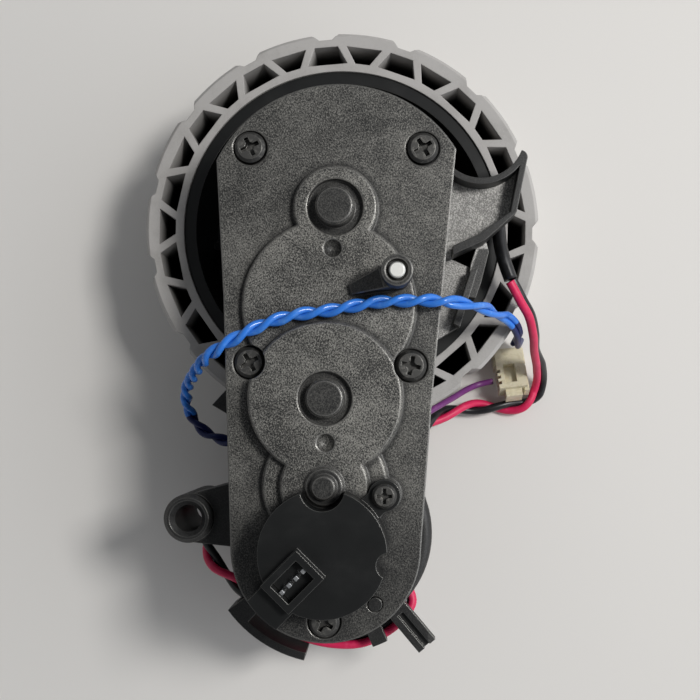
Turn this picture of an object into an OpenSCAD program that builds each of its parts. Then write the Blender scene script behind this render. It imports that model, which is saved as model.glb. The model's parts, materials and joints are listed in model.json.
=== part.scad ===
// Drive wheel module of a robot vacuum, lying on the wheel's outer side.
// The origin is on the wheel axis where the hub cap meets the floor, and +Z runs along the wheel axis.

/* [Wheel] */
// Diameter over the tread lugs
wheel_d = 70; // [68:0.5:71]
// Width of the tyre
tyre_w = 23; // [21:0.5:25]
// Number of tread lugs, with two sidewall cells for each
lug_count = 15; // [12:1:18]
// Height of the lugs above the tread's grooves
lug_h = 1.2; // [0.6:0.1:1.5]
// Width of a groove between two lugs, at its bottom
notch_w = 2.3; // [1.5:0.1:4]
// Width that each side of a groove adds on the way out
notch_flare = 1.4; // [0.4:0.1:2]
// Thickness of the tread outside the sidewall cells, with the lugs
tread_t = 2.4; // [2.2:0.1:3]
// Thickness of the tyre's inner band
tyre_band_t = 1.5; // [1:0.1:2]
// Height of the sidewall cells, along the radius
cell_h = 3; // [2:0.1:3.4]
// Thickness of the slanted webs between cells
web_t = 1.3; // [0.8:0.1:1.8]
// Thickness of the closed outer sidewall behind the cells
sidewall_t = 3; // [1.5:0.5:6]
// Chamfer along both edges of the tread
tread_chamfer = 0.6; // [0.2:0.1:1]

/* [Hub] */
// Thickness of the rim
rim_t = 2.1; // [1.5:0.1:3]
// How far the rim's inner edge lies below the tyre's face
rim_sink = 0.4; // [0:0.1:1]
// Height of the rib on the rim that holds the tyre
rim_rib_h = 0.8; // [0.4:0.1:1]
// Width of the rib on the rim
rim_rib_w = 3; // [2:0.5:6]
// Thickness of the hub's outer wall
hub_web_t = 2.4; // [1.8:0.1:3]
// How far the hub's outer wall lies inside the tyre's outer face
hub_recess = 0.6; // [0.3:0.1:1]
// Diameter of the boss that takes the shaft
hub_boss_d = 15; // [12:0.5:16]
// Number of ribs in the dish
hub_rib_count = 6; // [3:1:9]
// Thickness of a rib
hub_rib_t = 1.6; // [1:0.1:2.5]
// Height of a rib above the hub's outer wall
hub_rib_h = 4; // [2:0.5:8]
// Diameter of the cap over the hub screw
hub_cap_d = 16; // [13:0.5:18]
// Thickness of the cap over the hub screw
hub_cap_t = 1.6; // [1.2:0.1:1.8]
// Diameter of the hub screw's head
hub_screw_head_d = 5.5; // [4.5:0.1:6]
// Height of the hub screw's head
hub_screw_head_h = 2; // [1.2:0.1:2.4]
// Diameter of the hub screw's shank
hub_screw_d = 2.5; // [2:0.1:3]
// Wall between the hub screw's head and the end of the shaft
hub_seat_t = 1.8; // [1.2:0.1:2.4]

/* [Output shaft] */
// Diameter of the output shaft
shaft_d = 6; // [5.6:0.1:6.2]
// Depth of the flat that drives the hub
shaft_flat = 0.6; // [0.3:0.1:1]
// Outer diameter of the lower bearing
low_bearing_d = 12; // [11.6:0.1:12.6]
// Width of the lower bearing
low_bearing_w = 4; // [3:0.5:4]
// Outer diameter of the upper bearing
top_bearing_d = 10; // [9.6:0.1:10.4]
// Width of the upper bearing
top_bearing_w = 3; // [2.5:0.1:3]
// Number of balls in each bearing
ball_count = 9; // [6:1:10]

/* [Gear train] */
// Module of the motor's gear pair, as a share that the distance from wheel to motor is split by
fast_share = 5; // [4.9:0.1:5.1]
// Module of the two middle gear pairs, as such a share
mid_share = 6; // [5.9:0.1:6.1]
// Module of the output gear pair, as such a share
slow_share = 8; // [7.9:0.1:8.1]
// Gap between the tyre and the housing round the motor
wheel_gap = 1.5; // [1.2:0.1:2.5]
// Teeth of the motor pinion
motor_teeth = 10; // [10:1:10]
// Teeth of the first gear
gear_1_teeth = 30; // [30:1:30]
// Teeth of the first gear's pinion
gear_1_pinion_teeth = 14; // [14:1:14]
// Teeth of the second gear
gear_2_teeth = 32; // [32:1:32]
// Teeth of the second gear's pinion
gear_2_pinion_teeth = 12; // [12:1:12]
// Teeth of the third gear
gear_3_teeth = 37; // [37:1:37]
// Teeth of the third gear's pinion
gear_3_pinion_teeth = 12; // [12:1:12]
// Teeth of the output gear
output_teeth = 27; // [27:1:27]
// Tooth thickness that each gear gives up for play
tooth_play = 0.06; // [0.04:0.01:0.1]
// Width of the output gear
output_gear_w = 5.4; // [4.5:0.1:5.8]
// Width of the other gears
gear_w = 2.6; // [2.2:0.1:2.8]
// Diameter of the pins of the second and third gears
gear_pin_d = 3; // [2.6:0.1:3.2]
// Diameter of the first gear's pin
fast_pin_d = 2; // [1.6:0.1:2.2]
// Running clearance on the radius of each pin
pin_play = 0.05; // [0.03:0.01:0.08]

/* [Gearbox] */
// Gap between the tyre's face and the gearbox above it
case_gap = 0.6; // [0.4:0.1:1]
// Thickness of the case's floor
case_floor_t = 1.8; // [1.4:0.1:2]
// Thickness of the case's side wall
case_wall_t = 1.8; // [1.4:0.1:2.4]
// Thickness of the cover's side wall
cover_wall_t = 1.6; // [1.2:0.1:1.6]
// Thickness of the cover's top
cover_top_t = 2; // [1.6:0.1:2]
// Height from the case's floor to the joint between case and cover
case_h = 7.9; // [7:0.1:8]
// Height of the cover from the joint to its top face
cover_h = 8.1; // [8.1:0.1:9]
// Radius of the rounded end over the wheel
case_nose_r = 21.9; // [21.5:0.1:22.3]
// How far the rounded end over the motor reaches past the motor's can
case_end_rim = 3; // [2.9:0.1:3.6]
// Radius of the raised disc over the third gear
disc_a_r = 13.8; // [13:0.1:14]
// Radius of the raised disc over the second gear
disc_b_r = 12.2; // [12:0.1:12.4]
// Radius of the low step over the first gear
disc_c_r = 10; // [9:0.1:10.2]
// Radius of the high step over the first gear
disc_d_r = 7; // [6.8:0.1:7.4]
// Height of one step of the raised discs
step_h = 1.4; // [1.4:0.1:1.8]
// Radius of the ring over the output shaft
shaft_ring_r = 6.7; // [6.2:0.1:7.2]
// Radius of the stubs over the output shaft and the second gear
stub_r = 3.05; // [2.6:0.05:3.3]
// Depth of the recess round each of these stubs
stub_recess = 1; // [0.6:0.1:1.2]
// Outer diameter of the nose that holds the lower bearing
nose_d = 16.4; // [15.6:0.2:17]
// Diameter of the screw heads on the cover
screw_head_d = 4.9; // [4.4:0.1:5]
// Height of the screw heads on the cover
screw_head_h = 1.4; // [1:0.1:1.8]
// Diameter of the cover screws
screw_d = 2.4; // [2:0.1:2.6]
// Length of the long cover screws under the head
screw_len = 12; // [10:0.5:13]
// Depth of the recess round each screw head
screw_recess = 0.6; // [0.3:0.1:1]

/* [Mounting] */
// Distance of the pivot eye from the wheel axis, across the module
eye_x = 25.2; // [24:0.2:28]
// Distance of the pivot eye from the wheel axis, along the module
eye_y = 50.2; // [46:0.2:54]
// Outer diameter of the pivot eye
eye_d = 8.2; // [7.4:0.2:10]
// Bore of the pivot eye
eye_bore_d = 4.5; // [3.5:0.1:5]
// Length of the pivot eye
eye_h = 18; // [12:1:20]
// Diameter of the spring post's top, which the spring hooks over
post_d = 4.8; // [4.2:0.1:4.9]
// Height of the spring post's top
post_grip_h = 3.2; // [2.4:0.1:4]
// Diameter of the spring post's waist, below its top
post_root_d = 4.2; // [3.8:0.1:4.3]
// Height of the spring post above the cover
post_h = 9.1; // [8:0.1:12]
// Diameter of the steel pin in the spring post
post_pin_d = 2.5; // [2:0.1:2.8]
// Height of the wing's floor above the case's floor
wing_rise = 4.9; // [4:0.1:6]
// Thickness of the wing's floor
wing_t = 2; // [1.4:0.1:2.4]
// Thickness of the wall along the wing's edge
wing_wall_t = 1; // [0.8:0.1:1.6]
// Height of the wall along the wing's edge
wing_wall_h = 3.5; // [2:0.1:5]

/* [Motor] */
// Diameter of the motor's can
motor_d = 24.4; // [24:0.1:24.6]
// Length of the motor's can
motor_len = 27; // [24:0.5:28]
// Diameter of the motor's shaft
motor_shaft_d = 2; // [1.8:0.1:2.2]
// Room between the motor's can and the wall of the housing round it
housing_room = 3.8; // [3.6:0.1:4.2]
// Thickness of the housing's wall
housing_wall_t = 1.6; // [1.2:0.1:1.6]
// Thickness of the flange between the case and the housing
flange_t = 2.4; // [2:0.1:3]
// Radius of the rounding along the flange's edge
flange_round = 1.5; // [0.8:0.1:1.8]

/* [Encoder] */
// Radius of the encoder cap
cap_r = 9.9; // [9.6:0.1:10]
// Height of the encoder cap above the cover
cap_h = 7; // [7:0.1:8]
// Thickness of the encoder cap's wall
cap_wall_t = 1.2; // [1:0.1:1.4]
// Length of the socket on the encoder cap
socket_l = 7.6; // [7.4:0.1:8.4]
// Width of the socket on the encoder cap
socket_w = 6; // [5.4:0.1:6.4]
// Thickness of the socket's wall
socket_wall_t = 1.1; // [0.8:0.1:1.1]
// Height of the socket above the cap
socket_h = 1.9; // [1.2:0.1:3]
// Distance between neighbouring socket pins
pin_pitch = 1.5; // [1.3:0.05:1.5]
// Width of a socket pin
pin_w = 0.64; // [0.4:0.02:0.7]
// Thickness of the encoder's circuit board
board_t = 0.8; // [0.6:0.1:0.8]
// Radius of the encoder's magnet
magnet_r = 4; // [3:0.1:4.2]
// Thickness of the encoder's magnet
magnet_t = 1.2; // [0.8:0.1:1.3]

/* [Leads] */
// Diameter of one strand of the motor lead
power_strand_d = 1.55; // [1.4:0.05:1.6]
// Diameter of one strand of the blue lead
signal_strand_d = 1.1; // [0.9:0.05:1.2]
// Diameter of the thin lead
thin_lead_d = 1.2; // [1:0.1:1.3]
// Length of the white connector
plug_l = 9.8; // [9.4:0.2:10.4]
// Width of the white connector
plug_w = 6.2; // [6:0.2:6.8]
// Height of the white connector
plug_h = 4.2; // [3.8:0.2:4.6]

/* [Hidden] */
$fn = 64;

wheel_r = wheel_d / 2;
rim_r = wheel_r - tread_t - cell_h - tyre_band_t;
shaft_r = shaft_d / 2;
motor_r = motor_d / 2;
housing_r = motor_r + housing_room + housing_wall_t;
case_end_r = motor_r + case_end_rim;
fit = 0.02; // gap between pieces pressed together
seat = 0.05; // gap between a tyre, a cap or a bearing and its seat
clear = 0.3; // gap between pieces that move past each other
shown = 0.6; // how far a shank's hole is wider than the shank

// Gear axes, from the wheel to the motor, each a small step sideways from the one before
gear_3_x = -1.0;
gear_2_x = -1.5;
gear_1_x = -1.6;
motor_x = -1.6;
function next_axis(p, x, dist) = [x, p[1] - sqrt(dist * dist - (x - p[0]) * (x - p[0]))];
function pair_distance(m, a, b) = m * (a + b) / 2;
// The gears' modules follow from the distance between wheel and motor
train_shares = pair_distance(slow_share, output_teeth, gear_3_pinion_teeth)
  + pair_distance(mid_share, gear_3_teeth, gear_2_pinion_teeth)
  + pair_distance(mid_share, gear_2_teeth, gear_1_pinion_teeth)
  + pair_distance(fast_share, gear_1_teeth, motor_teeth);
module_unit = (wheel_r + housing_r + wheel_gap) / train_shares;
slow_module = slow_share * module_unit;
mid_module = mid_share * module_unit;
fast_module = fast_share * module_unit;
wheel_axis = [0, 0];
gear_3_axis = next_axis(wheel_axis, gear_3_x, pair_distance(slow_module, output_teeth, gear_3_pinion_teeth));
gear_2_axis = next_axis(gear_3_axis, gear_2_x, pair_distance(mid_module, gear_3_teeth, gear_2_pinion_teeth));
gear_1_axis = next_axis(gear_2_axis, gear_1_x, pair_distance(mid_module, gear_2_teeth, gear_1_pinion_teeth));
motor_axis = next_axis(gear_1_axis, motor_x, pair_distance(fast_module, gear_1_teeth, motor_teeth));
function heading(a, b) = atan2(b[1] - a[1], b[0] - a[0]);

// Levels, from the floor up
rim_top = tyre_w - rim_sink;
hub_web_top = hub_recess + hub_web_t;
cap_seat_z = hub_cap_t + fit;
hub_screw_seat_z = cap_seat_z + 1 + hub_screw_head_h;
shaft_z = hub_screw_seat_z + hub_seat_t;
case_z = tyre_w + case_gap;
case_floor_z = case_z + case_floor_t;
joint_z = case_z + case_h;
cover_z = joint_z + cover_h;
ceiling_z = cover_z - cover_top_t;
step_1_z = cover_z + step_h;
step_2_z = cover_z + 2 * step_h;
step_2_ceiling_z = step_2_z - cover_top_t + 0.2;
motor_top_z = joint_z - 0.5;
motor_roof_t = 1.2;
motor_roof_z = motor_top_z + motor_roof_t;
motor_z = motor_top_z - motor_len;
flange_z = case_z - flange_t;
terminal_out = 1.5;
terminal_room = 1.1;
housing_floor_t = 1.4;
housing_z = motor_z - terminal_out - terminal_room - housing_floor_t;

output_gear_z = case_floor_z + 1;
gear_3_pinion_z = case_floor_z + 0.6;
gear_1_z = motor_roof_z + 0.8;
gear_3_z = gear_1_z + 0.4;
gear_2_pinion_z = gear_1_z;
gear_2_z = gear_3_z + gear_w + 1.2;
gear_1_pinion_top = gear_2_z + gear_w + 0.4;

nose_z = case_z - 5.7;
nose_shoulder = 2;
low_bearing_z = nose_z + nose_shoulder;
top_bearing_z = gear_3_z + gear_w + clear;
shaft_top_z = top_bearing_z + top_bearing_w - 0.1;
hub_boss_top = nose_z - 1;

cap_top_z = cover_z + cap_h;
cap_ceiling_z = cap_top_z - cap_wall_t;
board_z = cap_ceiling_z - board_t;
magnet_z = step_2_z + clear;
motor_shaft_top = magnet_z + magnet_t + 0.2;

// Places on the cover
cover_screw_spots = [[-13.6, 9.7], [13.9, 9.6], [-13.6, -24.5], [12, -25]];
end_screw_spot = [-1.8, motor_axis[1] - 11.7];
cover_screw_turns = [26, 32, 30, -13];
end_screw_turn = -31;
dowel_spot = motor_axis + [7.9, -8.941];
ear_spot = motor_axis + [9.4, 8.659];
ear_r = 2.5;
post_spot = [9.8, -11.1];
post_fin_end = [2.5, -13.1];
eye_spot = [-eye_x, -eye_y];
eye_z = joint_z + 1.5 - eye_h;
socket_spot = motor_axis + [-4.3, -3.8];
socket_turn = 45;
cap_notch_spot = motor_axis + [10.2, -1.641];
screw_hole_r = screw_d / 2 + 0.1;
post_top_z = cover_z + post_h;

// Involute teeth: half the angle that a tooth fills at radius r
pressure = 20;
function involute(a) = tan(a) - a * PI / 180;
function tooth_half_angle(m, teeth, shift, r) =
  let (pitch_r = m * teeth / 2, base_r = pitch_r * cos(pressure), a = r > base_r ? acos(base_r / r) : 0)
  (PI / (2 * teeth) + 2 * shift * tan(pressure) / teeth - tooth_play / (2 * pitch_r)
    + involute(pressure) - involute(a)) * 180 / PI;
flank_points = 5;
function gear_tip_r(m, teeth, shift) = m * (teeth / 2 + 1 + shift);
function gear_root_r(m, teeth, shift) = m * (teeth / 2 - 1.25 + shift);
function flank(m, teeth, shift) =
  let (root = gear_root_r(m, teeth, shift), tip = gear_tip_r(m, teeth, shift),
    start = max(root + 0.01, m * teeth / 2 * cos(pressure)))
  concat([[root, tooth_half_angle(m, teeth, shift, start)]],
    [for (i = [0 : flank_points - 1]) let (r = start + (tip - start) * i / (flank_points - 1))
      [r, tooth_half_angle(m, teeth, shift, r)]]);
function polar(r, a) = [r * cos(a), r * sin(a)];
function gear_points(m, teeth, shift, turn) =
  let (side = flank(m, teeth, shift), n = len(side))
  [for (k = [0 : teeth - 1]) let (mid = turn + k * 360 / teeth)
    for (i = [0 : 2 * n - 1])
      let (point = side[min(i, 2 * n - 1 - i)]) polar(point[0], i < n ? mid - point[1] : mid + point[1])];

fast_shift = 0.35;
mid_shift = 0.2;
gear_3_shift = 0.25;
slow_shift = 0.25;

// A gear's tooth points at the next axis, and its partner has a gap there
module gear_body(m, teeth, shift, turn, z, w) {
  translate([0, 0, z]) linear_extrude(w) polygon(gear_points(m, teeth, shift, turn));
}
function gap_turn(direction, teeth) = direction + 180 + 180 / teeth;

module at(spot, z = 0) {
  translate([spot[0], spot[1], z]) children();
}
module rod(r, z0, z1) {
  translate([0, 0, z0]) cylinder(r = r, h = z1 - z0);
}
// A rod whose upper edge is broken by a small chamfer
module stepped_rod(r, z0, z1, edge = 0.35) {
  rotate_extrude() polygon([[0, z0], [r, z0], [r, z1 - edge], [r - edge, z1], [0, z1]]);
}
module tube(r_out, r_in, z0, z1) {
  difference() {
    rod(r_out, z0, z1);
    rod(r_in, z0 - 1, z1 + 1);
  }
}
// A pan head whose top is domed by a chamfer, with a cross recess, and its shank below
module pan_screw(head_r, head_t, shank_r, shank_l) {
  edge = head_t * 0.35;
  slot_w = head_r * 0.28;
  slot_l = head_r * 1.25;
  slot_z = head_t * 0.25;
  difference() {
    rotate_extrude() polygon([[0, -shank_l], [shank_r, -shank_l], [shank_r, 0], [head_r, 0],
      [head_r, head_t - edge], [head_r - edge, head_t], [0, head_t]]);
    for (turn = [0, 90]) rotate(turn)
      translate([-slot_l / 2, -slot_w / 2, slot_z]) cube([slot_l, slot_w, head_t]);
    rod(head_r * 0.3, slot_z, head_t + 1);
  }
}

// The plan outline of case and cover, grown by g
side_top_y = 22;
side_mid_left = [-17.9, -14];
side_mid_right = [15.35, -30.4];
side_top_left = -19.75;
side_top_right = 20.4;
nose_centre = [0.6, -2];
module plan_outline(g = 0) {
  intersection() {
    polygon([[side_top_left - g, side_top_y + g], [side_mid_left[0] - g, side_mid_left[1]],
      [motor_axis[0] - case_end_r - g, motor_axis[1]], [motor_axis[0] + case_end_r + g, motor_axis[1]],
      [side_mid_right[0] + g, side_mid_right[1]], [side_top_right + g, side_top_y + g]]);
    union() {
      translate(nose_centre) circle(r = case_nose_r + g);
      translate([-wheel_r, motor_axis[1]]) square([wheel_d, nose_centre[1] - motor_axis[1]]);
    }
  }
  translate(motor_axis) circle(r = case_end_r + g);
}

// Wheel
cell_in_r = rim_r + tyre_band_t;
cell_out_r = cell_in_r + cell_h;
cell_pitch = 180 / lug_count;
web_in_swing = 0.32 * cell_pitch;
web_out_swing = 0.58 * cell_pitch;
web_half = web_t / 2 / cos(30) / ((cell_in_r + cell_out_r) / 2) * 180 / PI;
tread_start = 11;

module cell(middle, in_half, out_half) {
  polygon([polar(cell_in_r, middle - in_half), polar(cell_in_r, middle + in_half),
    polar(cell_out_r, middle + out_half), polar(cell_out_r, middle - out_half)]);
}
module tyre_cells() {
  for (k = [0 : lug_count - 1]) {
    middle = tread_start + 2 * k * cell_pitch;
    cell(middle, web_in_swing - web_half, web_out_swing - web_half);
    cell(middle + cell_pitch, cell_pitch - web_in_swing - web_half, cell_pitch - web_out_swing - web_half);
  }
}
module tread_grooves() {
  groove_r = wheel_r - lug_h;
  for (k = [0 : lug_count - 1]) rotate(tread_start + (2 * k + 1) * cell_pitch)
    polygon([[groove_r, -notch_w / 2], [wheel_r + 1, -notch_w / 2 - notch_flare * (1 + 1 / lug_h)],
      [wheel_r + 1, notch_w / 2 + notch_flare * (1 + 1 / lug_h)], [groove_r, notch_w / 2]]);
}
rib_mid_z = tyre_w / 2;
module tyre() color([0.65, 0.64, 0.62]) {
  difference() {
    rotate_extrude($fn = 128) polygon([[rim_r + seat, 0], [wheel_r - tread_chamfer, 0],
      [wheel_r, tread_chamfer], [wheel_r, tyre_w - tread_chamfer], [wheel_r - tread_chamfer, tyre_w],
      [rim_r + seat, tyre_w], [rim_r + seat, rib_mid_z + rim_rib_w / 2 + seat],
      [rim_r + rim_rib_h + seat, rib_mid_z + rim_rib_w / 2 + seat],
      [rim_r + rim_rib_h + seat, rib_mid_z - rim_rib_w / 2 - seat],
      [rim_r + seat, rib_mid_z - rim_rib_w / 2 - seat]]);
    translate([0, 0, sidewall_t]) linear_extrude(tyre_w) tyre_cells();
    translate([0, 0, -1]) linear_extrude(tyre_w + 2) tread_grooves();
  }
}
module shaft_section(grow) {
  difference() {
    circle(r = shaft_r + grow);
    translate([shaft_r - shaft_flat + grow, -shaft_d]) square([shaft_d, 2 * shaft_d]);
  }
}
module wheel_hub() color([0.1, 0.1, 0.1]) {
  boss_r = hub_boss_d / 2;
  difference() {
    union() {
      rotate_extrude($fn = 128) polygon([[0, hub_recess], [rim_r, hub_recess],
        [rim_r, rib_mid_z - rim_rib_w / 2], [rim_r + rim_rib_h, rib_mid_z - rim_rib_w / 2],
        [rim_r + rim_rib_h, rib_mid_z + rim_rib_w / 2], [rim_r, rib_mid_z + rim_rib_w / 2],
        [rim_r, rim_top], [rim_r - rim_t, rim_top], [rim_r - rim_t, hub_web_top + 1.5],
        [rim_r - rim_t - 1.5, hub_web_top], [boss_r + 1, hub_web_top], [boss_r, hub_web_top + 1],
        [boss_r, hub_boss_top], [0, hub_boss_top]]);
      for (k = [0 : hub_rib_count - 1]) rotate(k * 360 / hub_rib_count)
        translate([0, -hub_rib_t / 2, hub_recess + 0.5])
          cube([rim_r - rim_t / 2, hub_rib_t, hub_web_t - 0.5 + hub_rib_h]);
    }
    rod(hub_cap_d / 2 + seat, -1, cap_seat_z);
    rod(hub_screw_head_d / 2 + shown, -1, hub_screw_seat_z);
    rod(hub_screw_d / 2 + shown / 2, 0, shaft_z + 1);
    translate([0, 0, shaft_z]) linear_extrude(hub_boss_top) shaft_section(fit);
  }
}
module hub_cap() color([0.13, 0.13, 0.13]) {
  spigot_r = hub_screw_head_d / 2 + shown - seat;
  rotate_extrude() polygon([[0, 0], [hub_cap_d / 2 - 0.4, 0], [hub_cap_d / 2, 0.4],
    [hub_cap_d / 2, hub_cap_t], [spigot_r, hub_cap_t], [spigot_r, hub_cap_t + 0.9],
    [spigot_r - 0.45, hub_cap_t + 0.9], [spigot_r - 0.45, hub_cap_t], [0, hub_cap_t]]);
}
hub_screw_len = 7;
module hub_screw() color([0.55, 0.55, 0.57]) {
  translate([0, 0, hub_screw_seat_z]) mirror([0, 0, 1])
    pan_screw(hub_screw_head_d / 2, hub_screw_head_h, hub_screw_d / 2, hub_screw_len);
}
module output_shaft() color([0.7, 0.7, 0.72]) {
  difference() {
    rotate_extrude() polygon([[0, shaft_z + fit], [shaft_r - 0.4, shaft_z + fit], [shaft_r, shaft_z + 0.4],
      [shaft_r, shaft_top_z - 0.4], [shaft_r - 0.4, shaft_top_z], [0, shaft_top_z]]);
    translate([shaft_r - shaft_flat, -shaft_d, shaft_z - 1])
      cube([shaft_d, 2 * shaft_d, hub_boss_top - shaft_z + 1]);
    rod(hub_screw_d / 2 + fit, shaft_z - 1, hub_screw_seat_z + hub_screw_len + 1);
  }
}
module output_gear() color([0.85, 0.83, 0.78]) {
  hub_low_r = shaft_r + 1.2;
  hub_high_r = shaft_r + 0.6;
  groove_in_r = hub_low_r + 1.2;
  groove_out_r = gear_root_r(slow_module, output_teeth, -slow_shift) - 1;
  difference() {
    union() {
      gear_body(slow_module, output_teeth, -slow_shift, heading(wheel_axis, gear_3_axis),
        output_gear_z, output_gear_w);
      rod(hub_low_r, low_bearing_z + low_bearing_w + fit, output_gear_z + 1);
      rod(hub_high_r, output_gear_z + 1, top_bearing_z - fit);
    }
    rod(shaft_r + fit, low_bearing_z, cover_z);
    for (z = [output_gear_z - 1, output_gear_z + output_gear_w - 1])
      tube(groove_out_r, groove_in_r, z, z + 2);
  }
}

// Ball bearings: the ball circle lies midway between bore and outside
low_ball_r = 0.8;
top_ball_r = 0.55;
ball_gap = 0.04;
function ball_circle(d) = (shaft_r + d / 2) / 2;
module ring_pair(d, w, z, ball_r, inner) {
  mid_r = ball_circle(d);
  gap = ball_r * 0.5;
  difference() {
    if (inner) tube(mid_r - gap, shaft_r + fit, z, z + w);
    else tube(d / 2, mid_r + gap, z, z + w);
    translate([0, 0, z + w / 2]) rotate_extrude() translate([mid_r, 0]) circle(r = ball_r + ball_gap);
  }
}
module bearing_inner_rings() color([0.75, 0.75, 0.77]) {
  ring_pair(low_bearing_d, low_bearing_w, low_bearing_z, low_ball_r, true);
  ring_pair(top_bearing_d, top_bearing_w, top_bearing_z, top_ball_r, true);
}
module bearing_outer_rings() color([0.72, 0.72, 0.74]) {
  ring_pair(low_bearing_d, low_bearing_w, low_bearing_z, low_ball_r, false);
  ring_pair(top_bearing_d, top_bearing_w, top_bearing_z, top_ball_r, false);
}
module bearing_balls() color([0.8, 0.8, 0.82]) {
  for (k = [0 : ball_count - 1]) rotate(k * 360 / ball_count) {
    translate([ball_circle(low_bearing_d), 0, low_bearing_z + low_bearing_w / 2])
      sphere(r = low_ball_r, $fn = 24);
    translate([ball_circle(top_bearing_d), 0, top_bearing_z + top_bearing_w / 2])
      sphere(r = top_ball_r, $fn = 24);
  }
}

// Compound gears on their pins
module gear_1() color([0.9, 0.88, 0.82]) at(gear_1_axis) {
  toward_motor = heading(gear_1_axis, motor_axis);
  toward_gear_2 = heading(gear_1_axis, gear_2_axis);
  difference() {
    union() {
      gear_body(fast_module, gear_1_teeth, -fast_shift, toward_motor, gear_1_z, gear_w);
      gear_body(mid_module, gear_1_pinion_teeth, mid_shift, toward_gear_2 + 180 / gear_1_pinion_teeth,
        gear_1_z + gear_w - 0.1, gear_1_pinion_top - gear_1_z - gear_w + 0.1);
    }
    rod(fast_pin_d / 2 + pin_play, gear_1_z - 1, cap_top_z);
  }
}
module gear_2() color([0.9, 0.88, 0.82]) at(gear_2_axis) {
  toward_gear_1 = heading(gear_2_axis, gear_1_axis);
  toward_gear_3 = heading(gear_2_axis, gear_3_axis);
  difference() {
    union() {
      gear_body(mid_module, gear_2_teeth, -mid_shift, toward_gear_1, gear_2_z, gear_w);
      gear_body(mid_module, gear_2_pinion_teeth, gear_3_shift, toward_gear_3 + 180 / gear_2_pinion_teeth,
        gear_2_pinion_z, gear_2_z - gear_2_pinion_z + 0.1);
    }
    rod(gear_pin_d / 2 + pin_play, gear_2_pinion_z - 1, cap_top_z);
    tube(8, 4, gear_2_z + gear_w - 0.7, gear_2_z + gear_w + 1);
  }
}
module gear_3() color([0.88, 0.86, 0.8]) at(gear_3_axis) {
  toward_gear_2 = heading(gear_3_axis, gear_2_axis);
  toward_wheel = heading(gear_3_axis, wheel_axis);
  difference() {
    union() {
      gear_body(mid_module, gear_3_teeth, -gear_3_shift, toward_gear_2, gear_3_z, gear_w);
      gear_body(slow_module, gear_3_pinion_teeth, slow_shift, toward_wheel + 180 / gear_3_pinion_teeth,
        gear_3_pinion_z, gear_3_z - gear_3_pinion_z + 0.1);
    }
    rod(gear_pin_d / 2 + pin_play, case_z, cap_top_z);
    tube(9.4, 4, gear_3_z + gear_w - 0.7, gear_3_z + gear_w + 1);
  }
}
pin_foot_z = case_z + 0.8;
gear_1_pin_top = step_2_z + 1.2;
gear_2_pin_top = step_2_z - 0.4;
gear_3_pin_top = step_1_z - 0.6;
module gear_pin(spot, r, z0, z1) {
  at(spot) rotate_extrude()
    polygon([[0, z0], [r - 0.2, z0], [r, z0 + 0.2], [r, z1 - 0.2], [r - 0.2, z1], [0, z1]]);
}
module gear_1_pin() color([0.75, 0.75, 0.77]) {
  gear_pin(gear_1_axis, fast_pin_d / 2, motor_top_z + 0.1, gear_1_pin_top);
}
module gear_2_pin() color([0.75, 0.75, 0.77]) {
  gear_pin(gear_2_axis, gear_pin_d / 2, pin_foot_z, gear_2_pin_top);
}
module gear_3_pin() color([0.75, 0.75, 0.77]) {
  gear_pin(gear_3_axis, gear_pin_d / 2, pin_foot_z, gear_3_pin_top);
}

// Motor, with its front face against the roof of its pocket in the case
can_t = 0.8;
bell_t = 2.4;
motor_boss_r = 3;
motor_screw_spots = [[3.7 - motor_r, 0], [motor_r - 3.7, 0]];
motor_screw_r = 1.2;
motor_screw_head_r = 2;
motor_screw_head_h = 1.2;
motor_screw_len = 3;
bush_r = 2.2;
module motor_pinion() color([0.8, 0.66, 0.3]) at(motor_axis) {
  difference() {
    gear_body(fast_module, motor_teeth, fast_shift, gap_turn(heading(gear_1_axis, motor_axis), motor_teeth),
      gear_1_z - 0.1, gear_w + 0.6);
    rod(motor_shaft_d / 2 + fit, gear_1_z - 1, cover_z);
  }
}
module motor_shaft() color([0.7, 0.7, 0.72]) at(motor_axis) {
  r = motor_shaft_d / 2;
  rotate_extrude() polygon([[0, motor_z + 0.2], [r, motor_z + 0.2], [r, motor_shaft_top - 0.2],
    [r - 0.2, motor_shaft_top], [0, motor_shaft_top]]);
}
rotor_foot = 6.5;
rotor_head = 5;
rotor_z = motor_z + rotor_foot;
rotor_l = motor_len - rotor_foot - rotor_head;
rotor_r = motor_r - can_t - 2.6;
module rotor_core() color([0.5, 0.5, 0.52]) at(motor_axis, rotor_z) {
  slots = 5;
  linear_extrude(rotor_l) difference() {
    circle(r = rotor_r);
    for (k = [0 : slots - 1]) rotate(k * 360 / slots) {
      translate([rotor_r * 0.45, -1.3]) square([rotor_r * 0.35, 2.6]);
      translate([rotor_r * 0.7, -0.4]) square([rotor_r, 0.8]);
    }
    circle(r = motor_shaft_d / 2 + fit);
  }
}
module rotor_windings() color([0.72, 0.38, 0.16]) at(motor_axis) {
  inner_r = motor_shaft_d / 2 + 0.8;
  for (z = [rotor_z - 1.9, rotor_z + rotor_l + fit]) translate([0, 0, z + 0.9]) rotate_extrude()
    polygon([[inner_r, -0.9], [rotor_r * 0.7, -0.9], [rotor_r * 0.8, -0.4], [rotor_r * 0.8, 0.4],
      [rotor_r * 0.7, 0.9], [inner_r, 0.9]]);
}
module commutator() color([0.76, 0.45, 0.25]) at(motor_axis) {
  difference() {
    tube(2.6, motor_shaft_d / 2 + fit, motor_z + bell_t + 0.5, rotor_z - 1.95);
    for (turn = [0, 60, 120]) rotate(turn) translate([-4, -0.15, 0]) {
      translate([0, 0, motor_z]) cube([1.8, 0.3, motor_len]);
      translate([6.2, 0, motor_z]) cube([1.8, 0.3, motor_len]);
    }
  }
}
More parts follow.
